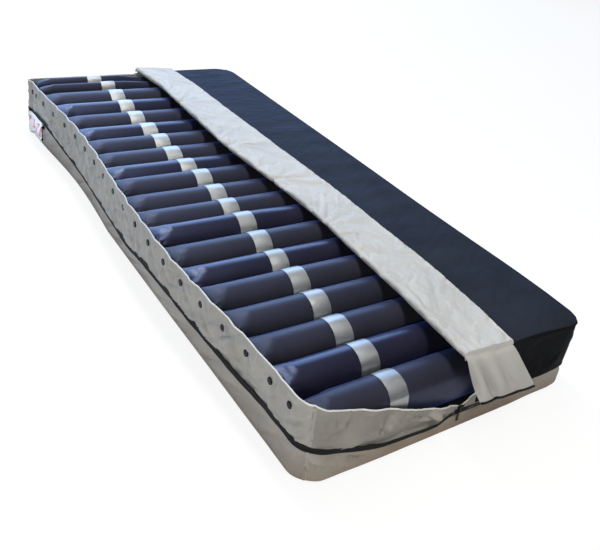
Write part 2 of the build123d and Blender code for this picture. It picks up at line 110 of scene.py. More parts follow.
def move(piece, places):
    """Writes new places for all of the piece's points."""
    piece.data.vertices.foreach_set("co", places.astype(np.float32).ravel())
    piece.data.update()


# %% [markdown]
# ## Finishes
# A finish is a small node tree on Blender's Principled shader. Soft patches of two near colours stand for handling
# and dust, a fine grain moves the roughness, and a weave raises the surface a little. Pictures of cloth could do the
# same, but noise needs no file, never repeats, and keeps its size in metres on every piece. Numbers that are the
# same all over go straight on the shader's sockets.

# %% Helpers for node trees


def new_finish(name, roughness, **sockets):
    """A material and its node tree. Names such as sheen_weight set sockets on the shader."""
    finish = bpy.data.materials.new(name)
    finish.use_nodes = True
    shader = finish.node_tree.nodes["Principled BSDF"]
    shader.inputs["Roughness"].default_value = roughness
    for socket, value in sockets.items():
        shader.inputs[socket.replace("_", " ").title().replace("Ior", "IOR")].default_value = value
    return finish, finish.node_tree.nodes, finish.node_tree.links, shader


def patches(nodes, links, source, size, detail=4.0, stretch=(1, 1, 1)):
    """Noise of a given size in metres, read from a coordinate."""
    mapping = nodes.new("ShaderNodeMapping")
    mapping.inputs["Scale"].default_value = stretch
    grain = nodes.new("ShaderNodeTexNoise")
    grain.inputs["Scale"].default_value = 1 / size
    grain.inputs["Detail"].default_value = detail
    links.new(source, mapping.inputs["Vector"])
    links.new(mapping.outputs["Vector"], grain.inputs["Vector"])
    return grain.outputs["Fac"]


def spread(nodes, links, source, low, high, to_low, to_high):
    """Maps a value from one range to another."""
    mapping = nodes.new("ShaderNodeMapRange")
    for socket, value in zip(("From Min", "From Max", "To Min", "To Max"), (low, high, to_low, to_high)):
        mapping.inputs[socket].default_value = value
    links.new(source, mapping.inputs["Value"])
    return mapping.outputs["Result"]


def mixed(nodes, links, share, first, second):
    """A colour between two, each a colour or another node's output."""
    mix = nodes.new("ShaderNodeMix")
    mix.data_type = "RGBA"
    links.new(share, mix.inputs["Factor"])
    for socket, value in ((mix.inputs[6], first), (mix.inputs[7], second)):
        if isinstance(value, tuple):
            socket.default_value = (*value, 1)
        else:
            links.new(value, socket)
    return mix.outputs[2]


def product(nodes, links, first, second):
    """Multiplies two nodes' outputs."""
    node = nodes.new("ShaderNodeMath")
    node.operation = "MULTIPLY"
    links.new(first, node.inputs[0])
    links.new(second, node.inputs[1])
    return node.outputs["Value"]


# %% Threads and bumps
# At a scale of 1, Blender's wave texture repeats its bands every 0.314 m.
WAVE_PERIOD = 0.314


def woven(nodes, links, spot, thread):
    """A plain weave: two sets of threads across each other, in the piece's own UV metres."""
    bands = []
    for direction in ("X", "Y"):
        band = nodes.new("ShaderNodeTexWave")
        band.bands_direction = direction
        band.inputs["Scale"].default_value = WAVE_PERIOD / thread
        band.inputs["Distortion"].default_value = 0.6
        links.new(spot, band.inputs["Vector"])
        bands.append(band.outputs["Fac"])
    return product(nodes, links, *bands)


def raised(nodes, links, shader, layers):
    """Bump layers, each (height, strength, distance), one on the other."""
    before = None
    for height, strength, distance in layers:
        bump = nodes.new("ShaderNodeBump")
        bump.inputs["Strength"].default_value = strength
        bump.inputs["Distance"].default_value = distance
        links.new(height, bump.inputs["Height"])
        if before:
            links.new(before, bump.inputs["Normal"])
        before = bump.outputs["Normal"]
    links.new(before, shader.inputs["Normal"])


# %% Cloth, and moulded pieces
# The height up to which the cloth carries painted warm light, bounced up from the floor.
PAINTED_BOUNCE_HEIGHT, FINE_GRAIN = 0.1, 0.004


def cloth_finish(name, light, dark, patch, roughness, thread=0.0006, creases=0.4, crease_size=0.02, foot=None,
                 stretch=(1, 1, 1), weave=0.25, grain=0.05, **sockets):
    """Woven or coated cloth. `foot` is a painted warm glow that the cloth fades to near the floor: light bounced up
    from a warm floor.
    """
    finish, nodes, links, shader = new_finish(name, roughness, **sockets)
    spot = nodes.new("ShaderNodeTexCoord")
    share = spread(nodes, links, patches(nodes, links, spot.outputs["Object"], patch), 0.35, 0.65, 0, 1)
    colour = mixed(nodes, links, share, light, dark)
    # Painted light: towards the floor, and less so at the near corner, the colour fades to the warm glow of light
    # bounced from the floor.
    if foot:
        split = nodes.new("ShaderNodeSeparateXYZ")
        links.new(spot.outputs["Object"], split.inputs["Vector"])
        near_floor = spread(nodes, links, split.outputs["Z"], PAINTED_BOUNCE_HEIGHT, 0.0, 0, 1)
        off_corner = spread(nodes, links, split.outputs["X"], -0.42, -0.15, 0.6, 1)
        colour = mixed(nodes, links, product(nodes, links, near_floor, off_corner), colour, foot)
    links.new(colour, shader.inputs["Base Color"])
    fine = patches(nodes, links, spot.outputs["Object"], FINE_GRAIN)
    links.new(spread(nodes, links, fine, 0.3, 0.7, roughness - grain, roughness + grain), shader.inputs["Roughness"])
    folds = patches(nodes, links, spot.outputs["Object"], crease_size, 3.0, stretch)
    threads = woven(nodes, links, spot.outputs["UV"], thread)
    raised(nodes, links, shader, [(threads, weave, 0.0002), (folds, creases, 0.002)])
    return finish


def moulded_finish(name, colour, roughness, **sockets):
    """Moulded plastic, rubber or painted metal with a fine grain and rubbed patches."""
    finish, nodes, links, shader = new_finish(name, roughness, **sockets)
    spot = nodes.new("ShaderNodeTexCoord")
    rubbed = tuple(min(1.0, c * 1.5 + 0.001) for c in colour)
    broad = patches(nodes, links, spot.outputs["Object"], 0.006)
    share = spread(nodes, links, broad, 0.45, 0.7, 0, 1)
    links.new(mixed(nodes, links, share, colour, rubbed), shader.inputs["Base Color"])
    links.new(spread(nodes, links, broad, 0.3, 0.7, roughness - 0.06, roughness + 0.08), shader.inputs["Roughness"])
    raised(nodes, links, shader, [(patches(nodes, links, spot.outputs["Object"], 0.0008), 0.15, 0.0001)])
    return finish


# %% [markdown]
# ## The finishes of this mattress
# The cells are dark satin with a blue sheen, the loops a metal-coated ribbon. The cover is matt: grey walls with a
# painted warm glow near the floor, for light bounced up from a warm floor, a darker grey with painted shade on the
# foot wall, a paler grey for the folded half, navy on top, and the same navy darkened with painted shade for the
# hanging skirts. Each finish could be tuned by eye in the shader editor, but written as a line of numbers, two of them
# can be compared at a glance.

# %% Cells and loops
BLUE_SHEEN = {"sheen_roughness": 0.4, "sheen_tint": (0.10, 0.24, 1.0, 1), "specular_tint": (0.4, 0.52, 1.0, 1)}
cell_satin = cloth_finish("cell_satin", (0.0155, 0.0145, 0.019), (0.019, 0.0175, 0.023), 0.12, 0.42, creases=0.04,
                          thread=0.0007, weave=0.06, grain=0.012, specular_ior_level=0.28, sheen_weight=0.26,
                          **BLUE_SHEEN)
cell_tight = cloth_finish("cell_tight", (0.010, 0.0085, 0.016), (0.012, 0.0105, 0.019), 0.12, 0.30, creases=0.03,
                          thread=0.0007, weave=0.03, grain=0.006, specular_ior_level=0.45, sheen_weight=0.26,
                          **BLUE_SHEEN)
loop_silver = cloth_finish("loop_silver", (0.34, 0.35, 0.355), (0.30, 0.31, 0.32), 0.03, 0.38, creases=0.12,
                           crease_size=0.012, thread=0.0008, metallic=0.9)
print(cell_satin.name, cell_tight.name, loop_silver.name)

# %% The cover
# The walls warm to brown near the floor: painted bounce light from a warm floor.
wall_cloth = cloth_finish("wall_cloth", (0.305, 0.295, 0.267), (0.262, 0.253, 0.229), 0.09, 0.5, creases=0.6,
                          crease_size=0.022, stretch=(1, 1, 0.45), foot=(0.19, 0.14, 0.10), specular_ior_level=0.3)
# A darker copy of the wall cloth for the foot wall: painted shade, as the foot faces away from the window light.
shaded_foot_cloth = cloth_finish("shaded_foot_cloth", (0.225, 0.214, 0.19), (0.185, 0.175, 0.155), 0.09, 0.5, creases=0.6,
                          crease_size=0.022, stretch=(1, 1, 0.45), specular_ior_level=0.3)
bound_edge = cloth_finish("bound_edge", (0.58, 0.57, 0.53), (0.52, 0.51, 0.47), 0.02, 0.5, creases=0.2,
                          crease_size=0.006)
zip_black = cloth_finish("zip_black", (0.006, 0.006, 0.007), (0.009, 0.009, 0.011), 0.02, 0.8, creases=0.2,
                         crease_size=0.008, thread=0.0009, specular_ior_level=0.12)
coil_black = moulded_finish("coil_black", (0.004, 0.004, 0.005), 0.5, specular_ior_level=0.2)
navy_cloth = cloth_finish("navy_cloth", (0.0140, 0.0160, 0.0190), (0.0178, 0.0208, 0.0255), 0.16, 0.6, creases=0.3,
                          crease_size=0.02, specular_ior_level=0.02, sheen_weight=0.25, sheen_roughness=0.3,
                          sheen_tint=(0.02, 0.21, 1.0, 1))
# A near black copy of the navy cloth for the skirts and piping: painted shade on the cloth that hangs down the sides.
shaded_skirt_cloth = cloth_finish("shaded_skirt_cloth", (0.002, 0.0022, 0.003), (0.004, 0.0043, 0.0055), 0.12, 0.5, creases=0.4,
                           crease_size=0.03, stretch=(1, 1, 0.4), specular_ior_level=0.02)
pack_cloth = cloth_finish("pack_cloth", (0.385, 0.374, 0.349), (0.346, 0.336, 0.313), 0.14, 0.6, creases=0.3,
                          crease_size=0.02, specular_ior_level=0.3)
print(len(bpy.data.materials), "finishes so far")

# %% Foam, film and moulded pieces
foam_finish = cloth_finish("foam_finish", (0.62, 0.58, 0.42), (0.55, 0.5, 0.36), 0.05, 0.9, creases=0.6,
                           crease_size=0.003)
sheet_finish = cloth_finish("sheet_finish", (0.008, 0.008, 0.013), (0.012, 0.012, 0.02), 0.08, 0.6, creases=0.3,
                            specular_ior_level=0.25)
stud_finish = moulded_finish("stud_finish", (0.003, 0.0035, 0.009), 0.25, specular_ior_level=0.05)
tube_finish = moulded_finish("tube_finish", (0.55, 0.55, 0.52), 0.35)
fitting_finish = moulded_finish("fitting_finish", (0.2, 0.21, 0.22), 0.4)
slider_finish = moulded_finish("slider_finish", (0.006, 0.006, 0.007), 0.4, metallic=0.3)
print(len(bpy.data.materials), "finishes")

# %% [markdown]
# ## The camera
# The camera stands off the foot's left corner, a little above eye level, and looks down the length of the
# mattress. It could be aimed with a constraint, but three written axes fix its roll as well. A small shift keeps
# the whole mattress in the frame without turning the camera.

# %% The camera
camera_data = bpy.data.cameras.new("camera")
camera = bpy.data.objects.new("camera", camera_data)
bpy.context.scene.collection.objects.link(camera)
view_right = Vector((0.7994, -0.579, 0.1603))
view_up = Vector((0.137, 0.4355, 0.8897))
view_back = Vector((-0.5849, -0.6893, 0.4274))
camera.rotation_mode = "QUATERNION"
camera.rotation_quaternion = Matrix((view_right, view_up, view_back)).transposed().to_quaternion()
camera.location = (-1.1538, -1.9395, 1.2615)
camera_data.lens, camera_data.sensor_width = 46.77, 36
camera_data.shift_x, camera_data.shift_y = -0.116, -0.130
camera_data.clip_end = 50
bpy.context.scene.camera = camera
bpy.context.scene.view_settings.view_transform = "Standard"
print("camera at", tuple(camera.location))

# %% [markdown]
# ## Floor, sky and soft lamps
# A pale floor keeps the shadow. One wide, cool lamp beyond the head stands for a window: it draws the blue band
# along the far side of each air cell. A long, narrow skylight overhead gives every fold its bright and its dark
# side, and two small lamps on the open side light the walls. An even white sky would be simpler, but it would flatten
# every fold, so the world is white to the camera only and dim to everything else.

# %% The floor
FLOOR_SIZE, FLOOR_GLOW = 14, 0.88
bpy.ops.mesh.primitive_plane_add(size=FLOOR_SIZE, location=(0, 0, -0.0006))
floor = bpy.context.object
floor.name = "floor"
floor_finish, nodes, links, shader = new_finish("floor_finish", 0.9)
shader.inputs["Base Color"].default_value = (0.8, 0.79, 0.78, 1)
shader.inputs["Specular IOR Level"].default_value = 0.0
seen = nodes.new("ShaderNodeLightPath")
glow = nodes.new("ShaderNodeEmission")
blend = nodes.new("ShaderNodeMixShader")
glow.inputs["Color"].default_value = (1, 1, 1, 1)
glow.inputs["Strength"].default_value = 1.0
links.new(spread(nodes, links, seen.outputs["Is Camera Ray"], 0, 1, 0, FLOOR_GLOW), blend.inputs["Fac"])
links.new(shader.outputs["BSDF"], blend.inputs[1])
links.new(glow.outputs["Emission"], blend.inputs[2])
links.new(blend.outputs["Shader"], nodes["Material Output"].inputs["Surface"])
floor.data.materials.append(floor_finish)
floor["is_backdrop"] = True
print("floor", FLOOR_SIZE, "m across")

# %% The world
SKY_STRENGTH = 0.13
world = bpy.data.worlds.new("world")
bpy.context.scene.world = world
world.use_nodes = True
nodes, links = world.node_tree.nodes, world.node_tree.links
plain, white = nodes["Background"], nodes.new("ShaderNodeBackground")
plain.inputs["Color"].default_value = (0.86, 0.92, 1.0, 1)
plain.inputs["Strength"].default_value = SKY_STRENGTH
white.inputs["Strength"].default_value = 1.0
white.inputs["Color"].default_value = (1, 1, 1, 1)
seen, choose = nodes.new("ShaderNodeLightPath"), nodes.new("ShaderNodeMixShader")
links.new(seen.outputs["Is Camera Ray"], choose.inputs["Fac"])
links.new(plain.outputs["Background"], choose.inputs[1])
links.new(white.outputs["Background"], choose.inputs[2])
links.new(choose.outputs["Shader"], nodes["World Output"].inputs["Surface"])
print("sky strength", SKY_STRENGTH)

# %% The lamps


def soft_lamp(name, place, target, width, height, power, colour, shine=1.0):
    """A rectangle of light at one place, turned to a target."""
    lamp_data = bpy.data.lights.new(name, "AREA")
    lamp_data.shape = "RECTANGLE"
    lamp_data.size, lamp_data.size_y = width, height
    lamp_data.energy, lamp_data.color, lamp_data.specular_factor = power, colour, shine
    lamp = bpy.data.objects.new(name, lamp_data)
    bpy.context.scene.collection.objects.link(lamp)
    lamp.location = place
    lamp.rotation_mode = "QUATERNION"
    lamp.rotation_quaternion = (Vector(target) - Vector(place)).to_track_quat("-Z", "Y")
    print(name, power, "W")


soft_lamp("window", (0.5, 4.3, 2.2), (0, 0.2, 0.15), 8.0, 4.0, 420, (0.42, 0.64, 1.0))
soft_lamp("skylight", (0.06, 0.0, 3.3), (0.06, 0.0, 0), 0.4, 8.0, 200, (1.0, 0.985, 0.95))
soft_lamp("side_window", (-3.6, 2.4, 1.5), (-0.3, 0.3, 0.1), 1.6, 1.2, 10, (0.85, 0.92, 1.0), 0.05)
soft_lamp("side_fill", (-2.7, -3.0, 1.9), (-0.2, -0.6, 0.1), 0.6, 0.6, 60, (1.0, 0.97, 0.92), 0.05)

# %% [markdown]
# ## Letting cloth settle
# Real cloth is never as smooth as a drawn surface. Blender's cloth solver gives it the creases that slack and air
# pressure make. A long run could shape a whole cover, but it would wander from the CAD's sizes. So each run here is
# short, holds the sewn edges, and caps how far a point may go. The result is written into the mesh and the modifier
# is removed.

# %% A short cloth run


def settle(piece, held, cap, pressure=0.0, slack=0.0, gravity=0.0, stiffness=15.0, bending=0.5, frames=20):
    """Lets the piece settle as cloth. `held` says how firmly each point is kept, from 0 to 1."""
    rest = points(piece)
    group = piece.vertex_groups.new(name="held")
    for level in np.unique(held.round(2)):
        group.add(np.nonzero(held.round(2) == level)[0].tolist(), float(level), "REPLACE")
    cloth = piece.modifiers.new("cloth", "CLOTH")
    cloth.settings.vertex_group_mass = "held"
    cloth.settings.pin_stiffness = 4
    cloth.settings.quality = 4
    cloth.settings.mass = 0.2
    cloth.settings.tension_stiffness = stiffness
    cloth.settings.compression_stiffness = stiffness
    cloth.settings.shear_stiffness = stiffness / 3
    cloth.settings.bending_stiffness = bending
    cloth.settings.use_pressure = pressure > 0
    cloth.settings.uniform_pressure_force = pressure
    cloth.settings.shrink_min = -slack
    cloth.settings.effector_weights.gravity = gravity
    cloth.collision_settings.use_collision = False
    cloth.point_cache.frame_end = frames
    scene = bpy.context.scene
    for step in range(1, frames + 1):
        scene.frame_set(step)
    settled = piece.evaluated_get(bpy.context.evaluated_depsgraph_get()).data
    places = np.empty(len(settled.vertices) * 3, np.float32)
    settled.vertices.foreach_get("co", places)
    piece.modifiers.remove(cloth)
    piece.vertex_groups.clear()
    scene.frame_set(1)
    shift = places.reshape(-1, 3) - rest
    length = np.linalg.norm(shift, axis=1, keepdims=True) + 1e-9
    move(piece, rest + shift * cap * np.tanh(length / cap) / length)
    print(piece.name, "settled by up to", round(float(length.max()) * 1000, 1), "mm, capped at", cap * 1000)
    return piece


# %% [markdown]
# ## Air cells
# An air cell is a tube of coated nylon, taller than it is wide, closed at each end by a flat welded seam. Blowing up
# two flat sheets in the solver would give such a tube, but not one of a set size. Instead a cylinder primitive is cut
# into rings along its length, its upper and lower halves are drawn apart, and its ends close on the weld. A short
# cloth run with air pressure then puffs the ends and puckers them next to the weld. Two cells are made, one full and
# one drawn tighter, and the twenty are copies stretched to their own places.

# %% Noise, and a wrapped UV map


def rumple(a, b, seed):
    """Smooth noise between about -1 and 1."""
    return np.array([noise.noise((p, q, seed)) for p, q in zip(a.tolist(), b.tolist())])


def wrapped_uv(piece, around, along):
    """Gives the piece a UV map in metres, from two values at each point."""
    corners = np.empty(len(piece.data.loops), np.int32)
    piece.data.loops.foreach_get("vertex_index", corners)
    spots = np.stack([around[corners], along[corners]], 1).astype(np.float32)
    piece.data.uv_layers[0].data.foreach_set("uv", spots.ravel())


# %% Closing a cell's ends
CELL_WIDTH, HALF_CELL = 0.0995, 0.397
cell_low, cell_high = cell_boxes[9][0].z, cell_boxes[9][1].z
CELL_MIDDLE, HALF_HEIGHT = (cell_low + cell_high) / 2, (cell_high - cell_low) / 2
WELD_HEIGHT, WELD_HALF, END_TAPER = 0.182, 0.0466, 0.050
ROUND, RINGS = 72, 84
WELD_KEEP, PUCKER = 0.014, 0.0022


def close_ends(piece, seed):
    """Draws the tube's halves apart and closes its two ends on flat welds."""
    co = points(piece)
    station = np.clip(co[:, 0] / HALF_CELL, -1, 1)
    x = np.sign(station) * HALF_CELL * (1 - (1 - np.abs(station)) ** 1.35)
    close = np.clip((np.abs(x) - (HALF_CELL - END_TAPER)) / END_TAPER, 0, 1)
    angle = np.arctan2(co[:, 2], co[:, 1])
    keep = np.maximum(1 - close**1.25, WELD_KEEP)
    middle = WELD_HEIGHT - (WELD_HEIGHT - cell_low - HALF_HEIGHT) * keep
    tall = HALF_HEIGHT - CELL_WIDTH / 2
    rise = np.sin(angle) * CELL_WIDTH / 2 + np.clip(np.sin(angle) * 3, -1, 1) * tall
    z = middle + rise * keep
    flat = np.clip(np.cos(angle) * 1.7, -1, 1) * WELD_HALF
    y = (1 - close**1.4) * np.cos(angle) * CELL_WIDTH / 2 + close**1.4 * flat
    pucker = rumple(y / 0.007, np.sign(x) * 3, seed) * close**6
    z += PUCKER * pucker
    move(piece, np.stack([x, y, z], 1))
    wrapped_uv(piece, np.arctan2(y, z - CELL_MIDDLE) * 0.06, x)
    return close


# %% Two air cells
CELL_CAP = 0.007


def rings_cut(piece):
    """Cuts the tube into rings: its long edges are picked by the way they run, then subdivided."""
    mesh = piece.data
    ends = [[mesh.vertices[corner].co.x for corner in edge.vertices] for edge in mesh.edges]
    bpy.ops.object.mode_set(mode="EDIT")
    bpy.ops.mesh.select_all(action="DESELECT")
    bpy.ops.mesh.select_mode(type="EDGE")
    bpy.ops.object.mode_set(mode="OBJECT")
    mesh.edges.foreach_set("select", [abs(first - second) > 0.1 for first, second in ends])
    bpy.ops.object.mode_set(mode="EDIT")
    bpy.ops.mesh.subdivide(number_cuts=RINGS)
    bpy.ops.object.mode_set(mode="OBJECT")


def air_cell(name, seed, pressure):
    """One cell at the middle of the mattress, puffed at its ends and nearly as drawn along its length."""
    bpy.ops.object.select_all(action="DESELECT")
    bpy.ops.mesh.primitive_cylinder_add(vertices=ROUND, radius=CELL_WIDTH / 2, depth=2 * HALF_CELL,
                                        rotation=(0, math.pi / 2, 0))
    piece = bpy.context.object
    piece.name = name
    bpy.ops.object.transform_apply(location=True, rotation=True, scale=True)
    rings_cut(piece)
    close = close_ends(piece, seed)
    held = np.where(close > 0.985, 1.0, np.where(close > 0, 0.0, 0.35))
    before = points(piece)
    settle(piece, held, CELL_CAP, pressure=pressure, slack=0.012, stiffness=20, bending=0.3)
    share = np.clip(0.12 + close * 3, 0, 1)[:, None]
    move(piece, before + (points(piece) - before) * share)
    return piece


full_cell = air_cell("full_cell", 1.0, 5.0)
tight_cell = air_cell("tight_cell", 2.0, 7.0)
print("two cells of", len(full_cell.data.polygons), "faces")

# %% Copying a piece, and dressing it


def copied(piece, name):
    """A copy with a mesh of its own."""
    twin = piece.copy()
    twin.data = piece.data.copy()
    twin.name = name
    bpy.context.scene.collection.objects.link(twin)
    return twin


def dressed(piece, body, nodes, slot, *finishes):
    """The last step for a new piece: smooth faces, finish, body, and the CAD nodes that it stands for."""
    only(piece)
    bpy.ops.object.shade_smooth_by_angle(angle=math.radians(50))
    piece.data.materials.clear()
    for finish in finishes:
        piece.data.materials.append(finish)
    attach(piece, body)
    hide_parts(*nodes)
    print(piece.name, len(piece.data.polygons), "faces")
    return piece


# %% The twenty cells in their places
FULL_SLIM, TIGHT_SLIM, CLOSED_LIFT = 0.985, 0.95, 1.015
TIGHT = {2, 6, 8, 12, 15, 17}
LIFTS = (-27, -14, -10, -2, 3, -2, 0, 6, -3, -7, -3, -11, -12, -10, -10, -6, -1, 2, 9, 14)
cell_shapes = []


def lifted(x, lift):
    """A cell stands taller only where the cover is open; the closed half presses it down."""
    return lift + (min(lift, CLOSED_LIFT) - lift) * np.clip((x + 0.08) / 0.08, 0, 1)


for number, (name, (low, high)) in enumerate(zip(cells, cell_boxes), 1):
    tight = number in TIGHT
    piece = copied(tight_cell if tight else full_cell, f"cell_{number:02d}")
    slim = (high.y - low.y) / CELL_WIDTH * (TIGHT_SLIM if tight else FULL_SLIM)
    lift = 1 + LIFTS[number - 1] / 1000 / (cell_high - cell_low)
    co = points(piece)
    co[:, 0] = (co[:, 0] + HALF_CELL) / (2 * HALF_CELL) * (high.x - low.x) + low.x
    # The first and the last cell narrow towards the cover's round corners.
    if number in (1, 20):
        ends = np.clip((np.abs(co[:, 0]) - 0.30) / 0.09, 0, 1)
        squeeze = 0.36 if number == 1 else np.where(co[:, 0] < 0, 0.15, 0.6)
        co[:, 1] *= 1 - squeeze * ends
    co[:, 1] = co[:, 1] * slim + cell_places[number - 1]
    # The last cell's left end reaches into the flared corner.
    if number == 20:
        co[:, 0] -= 0.018 * np.clip((-0.2 - co[:, 0]) / 0.17, 0, 1)
    co[:, 2] = low.z + (co[:, 2] - cell_low) * lifted(co[:, 0], lift)
    move(piece, co)
    cell_shapes.append((slim, lift))
    group = "static" if number > 17 else ("a" if number % 2 else "b")
    dressed(piece, "mattress", [name], "cell_fabric", cell_tight if tight else cell_satin)
    if group != "static":
        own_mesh(piece)
for spare in (full_cell, tight_cell):
    bpy.data.objects.remove(spare)

# %% [markdown]
# ## Silver loops
# A wide satin loop holds each cell down to the sheet under it. It could be cut from the cell's own faces, but then it
# would share the cell's edge. Here it is an open cylinder in the cell's section, a little proud of it, nipped in at
# its edges and thickened with Solidify.

# %% Edit mode, modifiers and joining


def modified(piece, kind, **settings):
    """Adds a modifier and applies it at once."""
    only(piece)
    modifier = piece.modifiers.new(kind.lower(), kind)
    for key, value in settings.items():
        setattr(modifier, key, value)
    bpy.ops.object.modifier_apply(modifier=modifier.name)
    return piece


def edited(piece, *steps):
    """Runs edit-mode operators on all of the piece."""
    only(piece)
    bpy.ops.object.mode_set(mode="EDIT")
    bpy.ops.mesh.select_all(action="SELECT")
    for step in steps:
        step()
    bpy.ops.object.mode_set(mode="OBJECT")
    return piece


def joined(name, parts):
    """Joins several pieces into one."""
    bpy.ops.object.select_all(action="DESELECT")
    for part in parts:
        part.select_set(True)
    bpy.context.view_layer.objects.active = parts[0]
    bpy.ops.object.join()
    parts[0].name = name
    return parts[0]


# %% The loops
LOOP_HALF, LOOP_THICK = 0.026, 0.0009
LOOP_PLACE, LOOP_DRIFT = 0.145, 0.055
LOOP_SHIFTS = {1: 0.029, 2: 0.013, 3: -0.002, 4: -0.008, 5: -0.009, 6: -0.014, 7: -0.008, 10: 0.012, 11: 0.013,
               12: 0.009, 13: 0.006, 14: 0.006, 15: 0.006, 18: 0.005, 20: -0.034}


def silver_loop(number, side):
    """One loop in its place round a cell."""
    slim, lift = cell_shapes[number - 1]
    drift = max(0.0, -0.3 - cell_places[number - 1]) / 0.7
    centre = side * (LOOP_PLACE + LOOP_DRIFT * drift**2 - LOOP_SHIFTS.get(number, 0.0))
    bpy.ops.object.select_all(action="DESELECT")
    bpy.ops.mesh.primitive_cylinder_add(vertices=56, radius=CELL_WIDTH / 2, depth=2 * LOOP_HALF,
                                        end_fill_type="NOTHING", rotation=(0, math.pi / 2, 0))
    loop = bpy.context.object
    bpy.ops.object.transform_apply(location=True, rotation=True, scale=True)
    edited(loop, lambda: bpy.ops.mesh.subdivide(number_cuts=2))
    co = points(loop)
    angle = np.arctan2(co[:, 2], co[:, 1])
    swell = 0.0012 + 0.0007 * rumple(angle * 3, co[:, 0] / 0.03, number + side * 0.5)
    swell -= 0.0006 * (np.abs(co[:, 0]) / LOOP_HALF) ** 4
    tall = HALF_HEIGHT - CELL_WIDTH / 2
    y = np.cos(angle) * (CELL_WIDTH / 2 + swell)
    z = np.sin(angle) * (CELL_WIDTH / 2 + swell) + np.clip(np.sin(angle) * 3, -1, 1) * tall
    z = cell_low + HALF_HEIGHT + z
    skew = 0.0015 * math.sin(number * 2.4 + side)
    co[:, 0] += centre + skew * np.sin(angle)
    co[:, 1] = y * slim + cell_places[number - 1]
    co[:, 2] = cell_low + (z - cell_low) * lifted(co[:, 0], lift)
    move(loop, co)
    modified(loop, "SOLIDIFY", thickness=LOOP_THICK, offset=1.0)
    return loop


for group, members in (("a", range(1, 18, 2)), ("b", range(2, 18, 2)), ("static", range(18, 21))):
    loops = joined(f"silver_loops_{group}", [silver_loop(n, side) for n in members for side in (-1, 1)])
    dressed(loops, "mattress", [f"cell_loops_{group}"], "silver_loop", loop_silver)
    if group != "static":
        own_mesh(loops)

# %% [markdown]
# ## The plan of the cover
# Every cloth wall follows one rounded rectangle, whose left side is soft and waves in and out. Each wall could be
# shaped on its own, but neighbours would then gape or cross. Writing the line once, as a function, lets each wall,
# zip and seam be a flat grid that is laid along it.

# %% The outline
HALF_WIDTH, HALF_LENGTH, LEAN_HEIGHT = 0.405, 1.0, 0.056
ROUND_CORNER, HEAD_CORNER, SHARP_CORNER, HEAD_FLARE = 0.062, 0.030, 0.018, 0.012
WAVE_REACH, WAVE_DEPTH, WAVE_START, WAVE_LENGTH = 0.938, 0.022, 0.15, 1.9
ALONG = {"left": HALF_LENGTH, "right": HALF_LENGTH, "foot": HALF_WIDTH, "head": HALF_WIDTH}
CORNERS = {"left": (ROUND_CORNER, HEAD_CORNER), "right": (SHARP_CORNER, ROUND_CORNER),
           "foot": (ROUND_CORNER, SHARP_CORNER), "head": (HEAD_CORNER, ROUND_CORNER)}
ENDS = {side: (-ALONG[side] + low * (1 - math.pi / 4), ALONG[side] - high * (1 - math.pi / 4))
        for side, (low, high) in CORNERS.items()}
print("sides run", {side: (round(low, 3), round(high, 3)) for side, (low, high) in ENDS.items()})


def wave(y, z):
    """How far the soft left wall stands in (positive) or out (negative). It stands straight on the floor."""
    window = 1 - (np.minimum(np.abs(y), WAVE_REACH) / WAVE_REACH) ** 4
    lean = WAVE_DEPTH * np.sin(2 * np.pi * (y - WAVE_START) / WAVE_LENGTH) * window**2
    return np.maximum(lean, 0) + np.minimum(lean, 0) * np.clip(z / LEAN_HEIGHT, 0, 1)


def laid(side, run, out, height):
    """Places round the cover: `run` along a side from its middle, `out` from the wall's outer face."""
    run, out, height = np.broadcast_arrays(run, out, height)
    corner = np.where(run < 0, *CORNERS[side])
    straight = ALONG[side] - corner
    turn = np.clip((np.abs(run) - straight) / corner, 0, None)
    along = np.sign(run) * (np.minimum(np.abs(run), straight) + (corner + out) * np.sin(turn))
    far = (HALF_WIDTH if side in ("left", "right") else HALF_LENGTH) - corner + (corner + out) * np.cos(turn)
    if side == "left":
        far = far - wave(along, height)
    far = far if side in ("right", "head") else -far
    x, y = (far, along) if side in ("left", "right") else (along, far)
    # The head's left corner flares out a little.
    flare = np.clip((y - 0.962) / 0.02, 0, 1) * np.clip((-0.33 - x) / 0.06, 0, 1)
    return np.stack([x - HEAD_FLARE * flare, y, height], 1)


def corner_share(side, run, reach):
    """0 along the side and 1 on its round corners, rising over `reach`."""
    corner = np.where(run < 0, *CORNERS[side])
    return np.clip((np.abs(run) - (ALONG[side] - corner) + reach) / reach, 0, 1)


# %% The height lines
WALL_TOP, RIGHT_TOP, FOOT_DROOP = 0.208, 0.2055, 0.008
ZIP_LINES = {
    "left": [(-0.987, 0.090), (-0.938, 0.095), (-0.807, 0.091), (-0.707, 0.085), (-0.596, 0.090), (-0.476, 0.094),
             (-0.363, 0.098), (-0.177, 0.089), (-0.038, 0.069), (0.086, 0.066), (0.2, 0.061), (0.333, 0.061),
             (0.464, 0.063), (0.627, 0.073), (0.806, 0.093), (0.987, 0.095)],
    "foot": [(-0.392, 0.090), (-0.343, 0.080), (-0.256, 0.052), (-0.2, 0.0405), (-0.12, 0.040), (0.0, 0.040),
             (0.1, 0.040), (0.19, 0.040), (0.2, 0.0402), (0.27, 0.066), (0.343, 0.095), (0.392, 0.095)],
    "right": [(-0.987, 0.095), (0.987, 0.095)],
    "head": [(-0.392, 0.095), (0.392, 0.095)],
}
FOOT_TOP = [(-0.392, WALL_TOP), (-0.359, 0.195), (-0.306, 0.177), (-0.163, 0.130), (-0.067, 0.097), (0.02, 0.068),
            (0.045, 0.060), (0.062, 0.086), (0.09, 0.108), (0.15, 0.150), (0.235, 0.203), (0.3, RIGHT_TOP),
            (0.392, RIGHT_TOP)]


